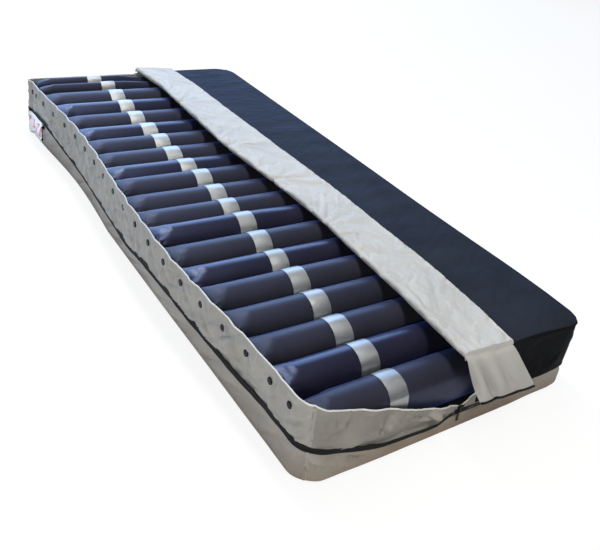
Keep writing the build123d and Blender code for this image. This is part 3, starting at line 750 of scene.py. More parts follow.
def through(x, knots):
    """A smooth line through some (x, height) knots."""
    xs, ys = (np.array(values, float) for values in zip(*knots))
    slopes = np.gradient(ys, xs)
    i = np.clip(np.searchsorted(xs, x) - 1, 0, len(xs) - 2)
    span = xs[i + 1] - xs[i]
    t = np.clip((x - xs[i]) / span, 0, 1)
    start = (2 * t**3 - 3 * t**2 + 1) * ys[i] + (t**3 - 2 * t**2 + t) * span * slopes[i]
    return start + (3 * t**2 - 2 * t**3) * ys[i + 1] + (t**3 - t**2) * span * slopes[i + 1]


def zip_level(side, run):
    """The zip's height along one side."""
    return through(run, ZIP_LINES[side])


def droop(x, y):
    """How far the cover's foot edge hangs down at the right corner."""
    across = np.exp(-(((np.minimum(x, 0.40) - 0.40) / 0.12) ** 2))
    return FOOT_DROOP * across * np.clip((-0.965 - y) / 0.035, 0, 1) ** 1.5


def wall_level(side, run):
    """The height of the walls' top edge along one side."""
    if side == "foot":
        return through(run, FOOT_TOP) - droop(run, -1.0)
    if side == "right":
        return RIGHT_TOP - droop(HALF_WIDTH, run)
    return np.full_like(run, WALL_TOP if side == "left" else RIGHT_TOP)


# %% [markdown]
# ## Base cover walls
# The base cover is a grey coated cloth. Its lower wall stands round the foam pad, the zip runs along its top, and
# above the zip the retaining wall holds the cells, snapped to them by a row of studs. The left wall leans and
# wrinkles between its studs; at the foot nothing holds the wall, and it slumps over the zip in soft folds. The walls
# could be cut and draped by the solver alone, which takes minutes and seldom lands on the CAD's lines. So the folds
# are written as sums of soft noise and narrow valleys, and a short cloth run adds the small creases.

# %% A flat cloth grid, and shapes for folds


def cloth_grid(name, columns, rows, place, width, height):
    """A flat grid laid by place(u, v), with u across and v up from 0 to 1, and a UV map in metres."""
    bpy.ops.object.select_all(action="DESELECT")
    bpy.ops.mesh.primitive_grid_add(x_subdivisions=columns, y_subdivisions=rows, size=2)
    piece = bpy.context.object
    piece.name = name
    flat = points(piece)
    move(piece, place((flat[:, 0] + 1) / 2, (flat[:, 1] + 1) / 2))
    uv = piece.data.uv_layers[0].data
    spots = np.empty(len(uv) * 2, np.float32)
    uv.foreach_get("uv", spots)
    uv.foreach_set("uv", (spots.reshape(-1, 2) * (width, height)).astype(np.float32).ravel())
    return piece


def crease(a, b, seed, sharp=5.0):
    """Noise whose valleys are narrow lines, like pressed folds: 0 on the flat and down to -1 in a fold."""
    return -np.exp(-np.abs(rumple(a, b, seed)) * sharp)


def bump_at(x, place, reach):
    """A smooth hump: 1 at its place, and almost 0 beyond twice its reach."""
    return np.exp(-(((x - place) / reach) ** 2))


# %% The studs, the seam and the loose zip
STUD_HEIGHT, STUD_REACH, STUD_GAP, CORNER_SEAM = 0.168, 0.015, 0.052, -0.3895
FIRST_STUD, LAST_STUDS, LAST_PITCH = -0.924, {"left": 0.956, "right": 0.924}, 0.033
STUDS = {side: np.maximum(FIRST_STUD, np.minimum(last - LAST_PITCH * np.arange(19, -1, -1), cell_places))
         for side, last in LAST_STUDS.items()}
print({side: len(places) for side, places in STUDS.items()}, "studs")


def side_run(side, u):
    """Metres along a side, running so that the cloth's outer face looks outwards."""
    low, high = ENDS[side]
    return low + (high - low) * (u if side in ("foot", "right") else 1 - u)


def near_seam(side, run, reach):
    """1 at the upright seam of the near left corner, falling to 0 away from it."""
    seam = {"foot": CORNER_SEAM, "left": ENDS["left"][0]}.get(side, 9.0)
    return np.exp(-(((run - seam) / reach) ** 2))


def stud_hold(side, run, z):
    """1 far from the press studs and 0 under them."""
    if side not in STUDS:
        return np.ones_like(run)
    near = np.min([np.hypot(run - place, (z - STUD_HEIGHT) * 0.8) for place in STUDS[side]], 0)
    return 1 - np.exp(-((near / STUD_REACH) ** 2))


def fan(x, y, at_x, at_y, facing, width, length, creases):
    """Creases that fan out from a point, as cloth does where it is pinched."""
    away = np.hypot(x - at_x, y - at_y)
    angle = (np.arctan2(y - at_y, x - at_x) - facing + np.pi) % (2 * np.pi) - np.pi
    spokes = np.cos(creases * angle / width + 1.3 * np.sin(40 * at_x))
    near = np.exp(-((angle / width) ** 2) - (away / length) ** 2)
    return near * spokes * (1 - np.exp(-((away / (0.25 * length)) ** 2)))


def zip_stand(side, run):
    """How far the slack zip stands out at the foot."""
    if side != "foot":
        return 0.0 * run
    return 0.012 * np.clip((run + 0.27) / 0.2, 0, 1) * np.clip((0.01 - run) / 0.05, 0, 1)


# %% How far the retaining wall stands out
INWARD_LIMIT = 0.0015


def pinched(out, side, run, share, z):
    """Cloth that swells between the press studs, with creases that fan out from each."""
    gap = np.min([np.abs(run - place) for place in STUDS[side]], 0) / STUD_GAP
    out = out + 0.004 * np.clip(gap, 0, 1) ** 2 * share
    for number, place in enumerate(STUDS[side]):
        facing = -1.57 + 0.6 * math.sin(number * 2.1)
        out = out + 0.0035 * fan(run, z, place, STUD_HEIGHT + 0.004, facing, 0.9, 0.06, 5)
    return out


def slumped(out, run, share, z, middle):
    """The foot wall, which nothing holds up: long slanting folds that hang over the zip."""
    slump = np.clip((run + 0.385) / 0.06, 0, 1)
    tall = wall_level("foot", run) - zip_level("foot", run)
    deep = np.clip((run + 0.29) / 0.25, 0, 1) * np.clip(tall / 0.08, 0.1, 1)
    rise = z - zip_level("foot", run)
    ridges = np.cos(2 * np.pi * (run / 0.26 - z / 0.085) + 1.2 * np.sin(11 * run + 1.0))
    ridges = ridges + 0.6 * np.cos(2 * np.pi * (run / 0.085 - z / 0.11) + 1.0)
    low = np.clip((share - 0.2) / 0.5, 0, 1)
    hang = low**2 * (3 - 2 * low)
    out = out + slump * middle * (0.0125 * ridges - 0.003)
    out = out + slump * 0.010 * crease(run / 0.05 - z / 0.05, z / 0.1, 9.0, 7.0) * middle
    out = out + deep * (0.022 * hang - 0.008 * np.clip((share - 0.75) / 0.25, 0, 1))
    out = out - deep * 0.014 * bump_at(rise, 0.016, 0.009)
    return np.maximum(out, -INWARD_LIMIT)


def retaining_out(side, run, share, z):
    """How far the retaining wall's cloth stands off its plan line, `share` of the way up from the zip."""
    calm = 0.4 if side in ("right", "head") else 1.0
    middle = np.sin(np.pi * np.clip(share, 0.02, 0.95))
    # Soft swells, then two sets of long valleys that slant across each other.
    out = 0.004 * rumple(run / 0.075 + z / 0.11, z / 0.16, 3.0) * middle
    out = out + 0.014 * crease(run / 0.08 + z / 0.05, z / 0.16, 5.0, 5.5) * middle + 0.011 * middle
    out = out + 0.009 * crease(run / 0.08 - z / 0.07, z / 0.12, 6.0, 5.5) * middle
    if side == "left":
        out = out * np.clip((0.955 - run) / 0.08, 0.15, 1)
    if side in STUDS:
        out = pinched(out, side, run, share, z)
    # Small creases on the round corners, and the pucker that the upright seam draws in.
    out = out + 0.004 * crease(run / 0.02 + z / 0.04, z / 0.03, 7.0, 5.0) * corner_share(side, run, 0.05) * middle
    pucker = rumple(run / 0.03, z / 0.011 + run / 0.05, 8.0) * near_seam(side, run, 0.03)
    out = out + (0.004 * pucker - 0.0022 * near_seam(side, run, 0.007)) * middle
    if side == "foot":
        out = slumped(out, run, share, z, middle)
    out = calm * out * stud_hold(side, run, z) * np.clip(share / 0.1, 0, 1)
    if side == "foot":
        rise = z - zip_level(side, run)
        out = out + zip_stand(side, run) * np.exp(-((rise / 0.008) ** 2))
        # Beyond the slider the wall stands flat behind the closed cover's skirt.
        under_skirt = np.clip((run - 0.08) / 0.05, 0, 1)
        out = out * (1 - under_skirt) - 0.001 * under_skirt
    return np.maximum(out, -0.0006) if side in STUDS else out


# %% How far the lower wall stands out


def lower_out(side, run, share, z):
    """The same for the lower wall, from the floor up: a slight belly over the pad and long slanting folds."""
    calm = 0.5 if side in ("right", "head") else 1.0
    middle = np.sin(np.pi * np.clip(share, 0, 0.97))
    out = 0.004 * middle - 0.003 * np.clip(1 - share, 0, 1) ** 10
    if side == "foot":
        inner = np.clip((HALF_WIDTH - np.abs(run)) / 0.05, 0, 1)
        out = out + 0.009 * inner * (1 - share) * np.clip(share / 0.12, 0, 1) ** 0.5
    # Folds fade out near the floor, and along the straight of the foot.
    middle = middle * np.clip((share - 0.08) / 0.4, 0, 1)
    middle = middle * (1 - 0.6 * np.clip((run + 0.25) / 0.15, 0, 1)) if side == "foot" else middle
    out = out + 0.005 * rumple(run / 0.22 + z / 0.10, z / 0.2, 11.0) * middle
    out = out + 0.011 * crease(run / 0.10 + z / 0.05, z / 0.3, 13.0, 5.0) * middle + 0.002 * middle
    out = out + 0.007 * crease(run / 0.09, z / 0.016, 18.0, 5.0) * near_seam(side, run - 0.06, 0.07) * middle
    out = out + 0.004 * crease(run / 0.016, z / 0.03, 15.0, 5.0) * corner_share(side, run, 0.05) * middle
    out = out + 0.004 * crease(run / 0.05, z / 0.014 + run / 0.05, 17.0, 6.0) * middle * np.maximum(
        corner_share(side, run, 0.05), near_seam(side, run - 0.03, 0.06))
    # The wall lies flat where the release socket is set in it.
    if side == "left":
        out = out * np.clip(np.hypot(run - 0.83, z - 0.076) / 0.03, 0, 1) ** 2
    out = np.maximum(calm * out, -0.0035) * np.clip((1 - share) / 0.12, 0, 1)
    if side in ("right", "foot"):
        beyond = -0.86 - run if side == "right" else run - 0.28
        out = out + 0.003 * np.clip(beyond / 0.1, 0, 1) * (1 - share) ** 2 * np.clip(share / 0.1, 0, 1) ** 0.5
    # At the foot it keeps clear of the slider and its hanging pull.
    if side == "foot":
        beyond = np.clip(np.abs(run - 0.10) - 0.11, 0, None) * 0.15 + np.clip(0.012 - z, 0, None) * 0.5
        out = np.minimum(out, 0.0056 + beyond)
    return out + zip_stand(side, run) * np.clip(share, 0, 1) ** 4


# %% Making one wall
WALL_THICK, STRAIGHT_FOOT = 0.0012, 0.33


def flat_size(side, low, high):
    """A wall's length, its tallest place and its area, before any folds."""
    run = side_run(side, np.linspace(0, 1, 400))
    span = ENDS[side][1] - ENDS[side][0]
    tall = high(side, run) - low(side, run)
    return span, float(tall.max()), float(tall.mean() * span)


def settled_wall(piece, side, columns, rows, slack):
    """Lets a wall's slack settle between its sewn edges and its studs, clear of the first cell at the foot."""
    flat_u = np.tile(np.linspace(0, 1, columns + 1), rows + 1)
    flat_v = np.repeat(np.linspace(0, 1, rows + 1), columns + 1)
    studs = stud_hold(side, side_run(side, flat_u), points(piece)[:, 2])
    held = np.where((flat_v < 0.01) | (flat_u < 0.004) | (flat_u > 0.996), 1.0, 0.0)
    held = np.maximum(held, np.where(studs < 0.55, 1.0, 0.0))
    held = np.maximum(held, np.where(flat_v > 0.99, 0.75, 0.0))
    settle(piece, held, 0.004 if side == "foot" else 0.006, slack=slack, gravity=0.3, stiffness=12, bending=0.06)
    if side == "foot":
        co = points(piece)
        straight = np.abs(co[:, 0]) < STRAIGHT_FOOT
        co[:, 1] = np.where(straight, np.minimum(co[:, 1], -HALF_LENGTH + INWARD_LIMIT), co[:, 1])
        move(piece, co)


def wall_piece(name, side, node, low, high, out, columns, rows, slack):
    """One wall between two height lines. Gives back its top edge, for the trims."""
    span, tall, area = flat_size(side, low, high)

    def place(u, v):
        run = side_run(side, u)
        bottom, top = low(side, run), high(side, run)
        z = bottom + (top - bottom) * v
        return laid(side, run, out(side, run, v, z), z)

    piece = cloth_grid(name, columns, rows, place, span, tall)
    if slack:
        settled_wall(piece, side, columns, rows, slack)
    edge = points(piece)[-(columns + 1):]
    modified(piece, "SOLIDIFY", thickness=WALL_THICK, offset=-1.0, use_rim=True)
    # The foot's retaining wall wears the darker cloth, with its painted shade.
    dressed(piece, "mattress", [node], "grey_cloth", shaded_foot_cloth if name == "retaining_cloth_foot" else wall_cloth)
    return edge


# %% The eight walls
FLOOR_GAP = 0.0004


def floor_level(side, run):
    """The walls' lower edge, just off the floor."""
    return np.full_like(run, FLOOR_GAP)


top_edges = {}
for side, columns in (("left", 460), ("foot", 190), ("right", 160), ("head", 110)):
    wall_piece(f"lower_wall_cloth_{side}", side, f"lower_wall_{side}", floor_level, zip_level, lower_out,
               columns, 16, 0)
    slack = {"left": 0.02, "foot": 0.02}.get(side, 0)
    top_edges[side] = wall_piece(f"retaining_cloth_{side}", side, f"retaining_wall_{side}", zip_level, wall_level,
                                 retaining_out, columns, 30, slack)

# %% [markdown]
# ## Bound edge and zip
# A pale binding closes the walls' top edge, and a black zip joins the walls below it: a cloth tape and a coil of
# teeth. A bevelled curve could draw such trims, but its section may roll at the corners. A swept grid, with one row of
# points for every point of its section, stays square to the wall and carries a UV map for its weave.

# %% Sweeping a section along a path


def weld():
    """Merges points that lie together."""
    bpy.ops.mesh.remove_doubles(threshold=0.00002)


def face_out():
    """Turns every face outwards."""
    bpy.ops.mesh.normals_make_consistent(inside=False)


def swept(name, path, section):
    """Sweeps a closed section of (out, up) points along a path, keeping it square to the path in plan."""
    step = np.gradient(path, axis=0)
    outward = np.stack([step[:, 1], -step[:, 0], np.zeros(len(path))], 1)
    outward /= np.linalg.norm(outward, axis=1, keepdims=True) + 1e-9
    ring = np.array([*section, section[0]])
    length = float(np.linalg.norm(np.diff(path, axis=0), axis=1).sum())

    def place(u, v):
        i = np.rint(u * (len(path) - 1)).astype(int)
        j = np.rint(v * (len(ring) - 1)).astype(int)
        up = np.zeros((len(u), 3))
        up[:, 2] = ring[j, 1]
        return path[i] + outward[i] * ring[j, :1] + up

    return edited(cloth_grid(name, len(path) - 1, len(ring) - 1, place, length, 0.02), weld)


def rounded_bar(out_low, out_high, low, high):
    """A small rounded oblong section."""
    r = min(out_high - out_low, high - low) * 0.3
    return [(out_high, low + r), (out_high, high - r), (out_high - r, high), (out_low + r, high),
            (out_low, high - r), (out_low, low + r), (out_low + r, low), (out_high - r, low)]


# %% The bound top edge
binding_section = rounded_bar(-0.0018, 0.0007, -0.0038, 0.0005)
binding_parts = [swept(f"binding_{side}", edge, binding_section) for side, edge in top_edges.items()]
binding = joined("bound_top_edge", binding_parts)
edited(binding, face_out)
dressed(binding, "mattress", ["wall_binding"], "edge_binding", bound_edge)

# %% The lower zip's tape
TAPE_THICK = 0.0009
ROUND_TRIP = [(side, *(ENDS[side] if side in ("foot", "right") else ENDS[side][::-1]))
              for side in ("left", "foot", "right", "head")]


def tape_piece(side, start, end):
    """The tape along one side: slim where the foot's zip lies straight, looser on the soft left side."""
    count = int(abs(end - start) * 130)
    run = np.linspace(start, end, count)
    slim = 0.45 + 0.55 * np.clip((-0.02 - run) / 0.25, 0, 1) if side == "foot" else np.ones(count)
    calm = 0.3 if side in ("right", "head") else 1.0
    loose = np.clip((0.2 - run) / 0.4, 0, 1) if side == "left" else 0 * run
    line, stand = zip_level(side, run), zip_stand(side, run)
    ripple = (0.0016 + 0.002 * loose) * calm * rumple(run / 0.05, run * 0, 21.0)
    low = line - 0.0078 * slim - 0.0016 * loose + ripple
    ripple = (0.0028 + 0.001 * loose) * calm * rumple(run / 0.035, run * 0, 23.0)
    high = line + 0.0074 * slim + 0.0012 * loose + ripple
    levels = ((0.0014, low), (0.0026, (low + high) / 2), (0.0018, high))
    rows = np.stack([laid(side, run, out + stand, height) for out, height in levels])

    def place(u, v):
        return rows[np.rint(v * 2).astype(int), np.rint(u * (count - 1)).astype(int)]

    return cloth_grid(f"tape_{side}", count - 1, 2, place, abs(end - start), 0.012)


lower_tape = joined("lower_zip_band", [tape_piece(side, start, end) for side, start, end in ROUND_TRIP])
modified(lower_tape, "SOLIDIFY", thickness=TAPE_THICK, offset=-1.0)
dressed(lower_tape, "mattress", ["lower_zip_tape"], "zip_tape", zip_black)

# %% The lower zip's coil
COIL_STEP, LOWER_COIL_RISE = 0.006, 0.0052


def zip_path(side, start, end, count, rise):
    """Points along the zip's line on one side, from one place to another, `rise` above it."""
    run = np.linspace(start, end, count)
    return laid(side, run, zip_stand(side, run), zip_level(side, run) + rise)


def coil(name, side, start, end, rise):
    """A zip coil: a thin rounded bar along the zip."""
    path = zip_path(side, start, end, int(abs(end - start) / COIL_STEP), rise)
    return swept(name, path, rounded_bar(0.0012, 0.0030, -0.0012, 0.0012))


coil_parts = [coil(f"coil_{side}", side, start, end, LOWER_COIL_RISE) for side, start, end in ROUND_TRIP]
lower_coil = joined("lower_zip_teeth", coil_parts)
dressed(lower_coil, "mattress", ["lower_zip_coil"], "zip_coil", coil_black)

# %% [markdown]
# ## The corner seam
# The foot wall and the left wall meet in an upright seam near the corner, turned in and sewn. A line in the bump
# would hint at it, but real pieces show from every side. The seam is a thin strip laid on the walls. One stitch is a
# small sphere drawn out to a bead, and its copies climb the strip.

# %% Places on the walls


def on_wall(side, run, z, extra):
    """Places on the outer face of the wall, below or above the zip."""
    seam = zip_level(side, run)
    above = (z - seam) / (wall_level(side, run) - seam)
    out = np.where(z < seam, lower_out(side, run, z / seam, z), retaining_out(side, run, np.clip(above, 0, 1), z))
    return laid(side, run, out + extra, z)


# %% The seam strip and its stitches
SEAM_WIDTH, STITCH_OUT, STITCH_STEP = 0.007, 0.0048, 0.0055
seam_zip = float(zip_level("foot", np.array([CORNER_SEAM]))[0])
seam_top = float(wall_level("foot", np.array([CORNER_SEAM]))[0])
seam_spans = ((0.004, seam_zip - 0.008), (seam_zip + 0.008, seam_top - 0.007))
bpy.ops.mesh.primitive_uv_sphere_add(segments=10, ring_count=6, radius=0.0005)
stitch = bpy.context.object
move(stitch, points(stitch) * (1, 1, 3.4))
strips, stitches = [], []
for low, high in seam_spans:

    def strip_place(u, v, low=low, high=high):
        proud = 0.0002 + 0.0010 * np.sin(np.pi * u)
        return on_wall("foot", CORNER_SEAM + SEAM_WIDTH * (u - 0.5), low + (high - low) * v, proud)

    strips.append(cloth_grid("seam_strip", 6, 50, strip_place, SEAM_WIDTH, high - low))
    z = np.arange(low + 0.004, high - 0.003, STITCH_STEP)
    for place in on_wall("foot", np.full_like(z, CORNER_SEAM + STITCH_OUT), z, 0.0006):
        stitches.append(copied(stitch, "stitch"))
        move(stitches[-1], points(stitches[-1]) + place)
bpy.data.objects.remove(stitch)
corner_seam = joined("corner_seam", strips)
modified(corner_seam, "SOLIDIFY", thickness=0.0008, offset=-1.0)
dressed(corner_seam, "mattress", [], "grey_cloth", wall_cloth)
corner_stitches = joined("corner_stitches", stitches)
dressed(corner_stitches, "mattress", [], "edge_binding", bound_edge)

# %% [markdown]
# ## Pad, hold-down sheet and base sheet
# Under the cells lies a foam pad with a coated sheet over it, and the base sheet closes the cover below. Little of
# them shows, in the gaps between the cells. A box with rounded corners would pass through the wavy left wall, so the
# pad is the cover's own outline, drawn in a little and extruded, and the sheets are grids laid inside that outline.

# %% The foam pad
PAD_INSET, PAD_BEVEL = 0.0055, 0.006


def outline_points(inset, count=60):
    """The plan outline, offset inwards, as one closed line."""
    rows = []
    for side, start, end in ROUND_TRIP:
        rows.append(laid(side, np.linspace(start, end, count)[:-1], -inset, 0.0))
    return np.concatenate(rows)


def filled_slab(name, inset, low, high, bevel):
    """A slab with the cover's outline: a filled circle primitive moved to the outline, then extruded."""
    line = outline_points(inset)
    bpy.ops.object.select_all(action="DESELECT")
    bpy.ops.mesh.primitive_circle_add(vertices=len(line), radius=1, fill_type="NGON")
    slab = bpy.context.object
    slab.name = name
    co = points(slab)
    order = np.argsort(np.arctan2(co[:, 1], co[:, 0]))
    start = np.argsort(np.arctan2(line[:, 1], line[:, 0]))
    co[order] = line[start]
    co[:, 2] = low
    move(slab, co)
    edited(slab, lambda: bpy.ops.mesh.extrude_region_move(TRANSFORM_OT_translate={"value": (0, 0, high - low)}),
           lambda: bpy.ops.mesh.select_all(action="SELECT"), face_out)
    modified(slab, "BEVEL", width=bevel, segments=3, limit_method="ANGLE", angle_limit=math.radians(60))
    return slab


pad_low, pad_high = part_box("base_pad")
foam_pad = filled_slab("foam_pad", PAD_INSET, pad_low.z, pad_high.z, PAD_BEVEL)
dressed(foam_pad, "mattress", ["base_pad"], "foam", foam_finish)

# %% The hold-down sheet
sheet_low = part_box("hold_down_sheet")[0]


def across_plan(u, v, inset):
    """Places inside the plan outline, for a grid."""
    y = (2 * v - 1) * (HALF_LENGTH - inset)
    edges = []
    for corner in (np.where(y > 0, HEAD_CORNER, ROUND_CORNER), np.where(y > 0, ROUND_CORNER, SHARP_CORNER)):
        past = np.clip((np.abs(y) - (HALF_LENGTH - corner)) / (corner - inset), 0, 1)
        edges.append((corner - inset) * (1 - np.sqrt(1 - past**2)) + inset - HALF_WIDTH)
    left, right = edges[0] + wave(y, 0.0), -edges[1]
    return left + (right - left) * u, y


def hold_down_place(u, v):
    """The sheet lies on the pad, with a slight ripple."""
    x, y = across_plan(u, v, 0.0065)
    z = sheet_low.z + 0.0006 + 0.0006 * rumple(x / 0.05, y / 0.05, 31.0)
    return np.stack([x, y, z], 1)


hold_down = cloth_grid("hold_down_cloth", 60, 150, hold_down_place, width=0.797, height=1.987)
modified(hold_down, "SOLIDIFY", thickness=0.0006, offset=1.0)
dressed(hold_down, "mattress", ["hold_down_sheet"], "sheet_cloth", sheet_finish)

# %% The base sheet


def base_place(u, v):
    """The sheet lies on the floor and turns up at its edge."""
    x, y = across_plan(1 - u, v, 0.0025)
    edge = np.minimum(np.minimum(u, 1 - u) * 0.8, np.minimum(v, 1 - v) * 2.0)
    return np.stack([x, y, FLOOR_GAP + 0.0012 * np.exp(-edge / 0.004)], 1)


base = cloth_grid("base_cloth", 60, 140, base_place, width=0.805, height=1.995)
modified(base, "SOLIDIFY", thickness=0.0008, offset=-1.0)
dressed(base, "mattress", ["base_sheet"], "grey_cloth", wall_cloth)

# %% [markdown]
# ## The closed half of the top cover
# The top panel is a stretch cloth laid over the cells. It dips a little between them, and near the head it is full
# of fine wrinkles across. Draped by the solver it would sag off the piping that it is sewn to. Instead a grid is laid
# from the fold to the plan outline, so its rows round the corners by themselves. The skirts hang from it on three
# sides, with a piping in the seam.

# %% The top panel
FOLD_EDGE = [(-1.013, 0.0), (-0.86, 0.010), (-0.7, 0.021), (-0.5, 0.029), (-0.33, 0.038), (-0.2, 0.036),
             (0.0, 0.025), (0.2, 0.012), (0.4, 0.015), (0.6, 0.020), (0.8, 0.024), (0.94, 0.010), (1.013, 0.003)]
PACK_RIGHT = [(-1.013, 0.160), (-0.9, 0.174), (-0.79, 0.185), (-0.66, 0.192), (-0.46, 0.197), (-0.22, 0.200),
              (0.06, 0.192), (0.4, 0.184), (0.64, 0.179), (0.8, 0.175), (0.93, 0.165), (1.013, 0.158)]
panel_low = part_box("cover_top_panel")[0]
COVER_OUT, PANEL_THICK = 0.0054, 0.0012
COVER_END = HALF_LENGTH + COVER_OUT
print("panel", round(2 * COVER_END, 3), "m long")


def ease(y):
    """How much further out the loose cover stands along the right side."""
    return (0.0045 + 0.0065 * np.clip((0.9 - y) / 1.4, 0, 1) - 0.003 * bump_at(y, -0.35, 0.25)
            + 0.003 * bump_at(y, -0.75, 0.15) - 0.0045 * np.clip((-0.88 - y) / 0.1, 0, 1))


def panel_place(u, v):
    """Places on the panel: u from the fold to the right edge, v from the foot to the head."""
    y = (2 * v - 1) * COVER_END
    # Rows crowd towards both ends, where the corners are round.
    y = np.sign(y) * (COVER_END - (COVER_END - np.abs(y)) ** 1.08 * COVER_END**-0.08)
    corner = np.where(y > 0, ROUND_CORNER, SHARP_CORNER)
    past = np.clip((np.abs(y) - HALF_LENGTH + corner) / (corner + COVER_OUT), 0, 1)
    right = HALF_WIDTH - corner + (corner + COVER_OUT + ease(y)) * np.sqrt(1 - past**2)
    left = through(y, FOLD_EDGE) + 0.009
    x = left + (right - left) * u**0.9
    free = np.clip((x - through(y, PACK_RIGHT)) / 0.06, 0, 1)
    rim = np.minimum(right - x, 2 * COVER_END * np.minimum(v, 1 - v))
    y = y - ease(-1.0) * np.clip((-0.9 - y) / 0.1, 0, 1) * np.clip((x - 0.27) / 0.1, 0, 1)
    # Dips between the cells, soft swells, fine wrinkles across near the head, and a few slanting creases.
    z = panel_low.z + 0.0012 + 0.0006 * free * np.cos(2 * np.pi * (y - cell_places[0]) / pitch)
    z = z + free * 0.0016 * rumple(x / 0.16, y / 0.12, 41.0)
    z = z + free * 0.0018 * crease(x / 0.11 + y / 0.2, y / 0.022, 43.0) * np.clip((y + 0.1) / 0.7, 0.1, 1)
    z = z + free * 0.0012 * crease(x / 0.07 - y / 0.09, y / 0.09, 45.0)
    # The rim lies flat and turns down into the seam with the piping.
    inner = np.clip(rim / 0.02, 0, 1)
    z = np.maximum(z, panel_low.z - 0.0004) * inner + (panel_low.z + 0.0006) * (1 - inner)
    z = z - 0.0022 * np.exp(-rim / 0.0015)
    z = z - droop(x, y) * np.exp(-rim / 0.014)
    return np.stack([x, y, z], 1)


top_panel = cloth_grid("top_panel_cloth", 110, 380, panel_place, width=0.39, height=2.01)
modified(top_panel, "SOLIDIFY", thickness=PANEL_THICK, offset=-1.0)
dressed(top_panel, "mattress", ["cover_top_panel"], "navy_cover", navy_cloth)

# %% The skirts
SKIRT_TOP, SKIRT_LOW, SKIRT_THICK = 0.2075, 0.071, 0.0011


def past_pack(side, run):
    """0 under the folded pack and 1 at the right corner of the foot; 0 on every other side."""
    return np.clip((run - 0.27) / 0.1, 0, 1) * (side == "foot")


def skirt_out(side, run, share, z):
    """Soft slanting folds that grow towards the lower edge."""
    out = 0.0052 + 0.004 * rumple(run / 0.09 + z / 0.12, z / 0.2, 51.0) * (1 - share)
    out = out + 0.0035 * crease(run / 0.07 + z / 0.09, z / 0.2, 53.0, 4.0) * np.sin(np.pi * np.clip(share, 0.1, 0.95))
    belly = np.sin(np.pi * np.clip(share, 0, 1)) ** 0.7
    streaks = 0.006 * rumple((1.2 * run - z) / 0.07, (run + z) / 0.22, 54.0)
    out = out + (streaks + 0.0025 * crease((1.3 * run - z) / 0.07, (run + z) / 0.2, 55.0, 4.0)) * belly
    if side == "right":
        loose = ease(run) * (0.35 + 0.65 * share) + 0.002 * np.clip((-0.86 - run) / 0.1, 0, 1) * belly
    else:
        loose = (0.002 * belly + ease(-1.0) * (0.35 + 0.65 * share)) * past_pack(side, run)
    return np.maximum(out, 0.0034) + loose - 0.002 * np.clip((share - 0.94) / 0.06, 0, 1)


def skirt_low(side, run):
    """The height of the skirt's lower edge."""
    if side == "foot":
        return through(run, [(0.0, 0.054), (0.2, 0.056), (0.3, 0.060), (0.4, SKIRT_LOW)])
    return np.full_like(run, SKIRT_LOW)


def skirt_piece(side, start, end, columns):
    """One skirt from one place to another along a side."""

    def place(u, v):
        run = start + (end - start) * u
        bottom = skirt_low(side, run)
        z = bottom + (SKIRT_TOP - bottom) * v
        place = laid(side, run, skirt_out(side, run, v, z), z)
        place[:, 2] -= droop(place[:, 0], place[:, 1]) * v**2
        return place

    span = abs(end - start)
    piece = cloth_grid(f"shaded_skirt_cloth_{side}", columns, 26, place, span, 0.15)
    modified(piece, "SOLIDIFY", thickness=SKIRT_THICK, offset=-1.0)
    # The skirts wear the navy cloth darkened with painted shade.
    dressed(piece, "mattress", [f"cover_skirt_{side}"], "navy_cover", shaded_skirt_cloth)


skirt_piece("foot", 0.085, ENDS["foot"][1], 70)
skirt_piece("right", *ENDS["right"], 300)
skirt_piece("head", ENDS["head"][1], 0.0, 80)

# %% The piping
PIPING_RADIUS, PIPING_LEVEL = 0.0013, 0.2088
piping_section = [(PIPING_RADIUS * math.cos(a), PIPING_RADIUS * math.sin(a))
                  for a in np.linspace(0, 2 * math.pi, 8, endpoint=False)]
piping_parts = []
for side, start, end, count in (("foot", 0.03, ENDS["foot"][1], 60), ("right", *ENDS["right"], 200),
                                ("head", ENDS["head"][1], 0.02, 60)):
    run = np.linspace(start, end, count)
    loose = ease(run) if side == "right" else ease(-1.0) * past_pack(side, run)
    path = laid(side, run, COVER_OUT - 0.0006 + loose, PIPING_LEVEL)
    path[:, 2] -= droop(path[:, 0], path[:, 1])
    piping_parts.append(swept(f"piping_{side}", path, piping_section))
piping = joined("cover_piping", piping_parts)
# The piping wears the same navy, darkened with painted shade.
piping.data.materials.append(shaded_skirt_cloth)
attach(piping, "mattress")
print("piping", len(piping.data.polygons), "faces")

# %% [markdown]
# ## The folded pack
# The cover's left half lies folded on the right half: a soft roll at the fold, layers that thin out to the right,
# and creases that fan out where the cloth was pulled over. Folding a real sheet in the solver would need minutes and
# a steady hand, and only its outside shows. So the pack is one closed shape, and its section is a ring: along the
# underside, round the fold, over the top and round the right edge.

# %% The pack's section and its pinches
pack_low, pack_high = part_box("cover_folded_pack")
# Each point of the ring: how far across the pack, how far up, and how far round the fold or the right edge.
nose = np.linspace(0, np.pi, 9)
top_across = np.concatenate([np.linspace(0, 0.2, 18)[1:], np.linspace(0.2, 1, 34)[1:]])
ring_across = np.concatenate([np.linspace(1, 0, 20)[:-1], 0 * nose, top_across, 0 * nose[1:] + 1])
ring_up = np.concatenate([np.zeros(19), (1 - np.cos(nose)) / 2, 0 * top_across + 1, (1 + np.cos(nose[1:])) / 2])
ring_bulge = np.concatenate([np.zeros(19), -np.sin(nose), 0 * top_across, 0.7 * np.sin(nose[1:])])
PACK_PAST, PACK_ROUND, PACK_THICK = 0.0095, 0.0075, 0.0205
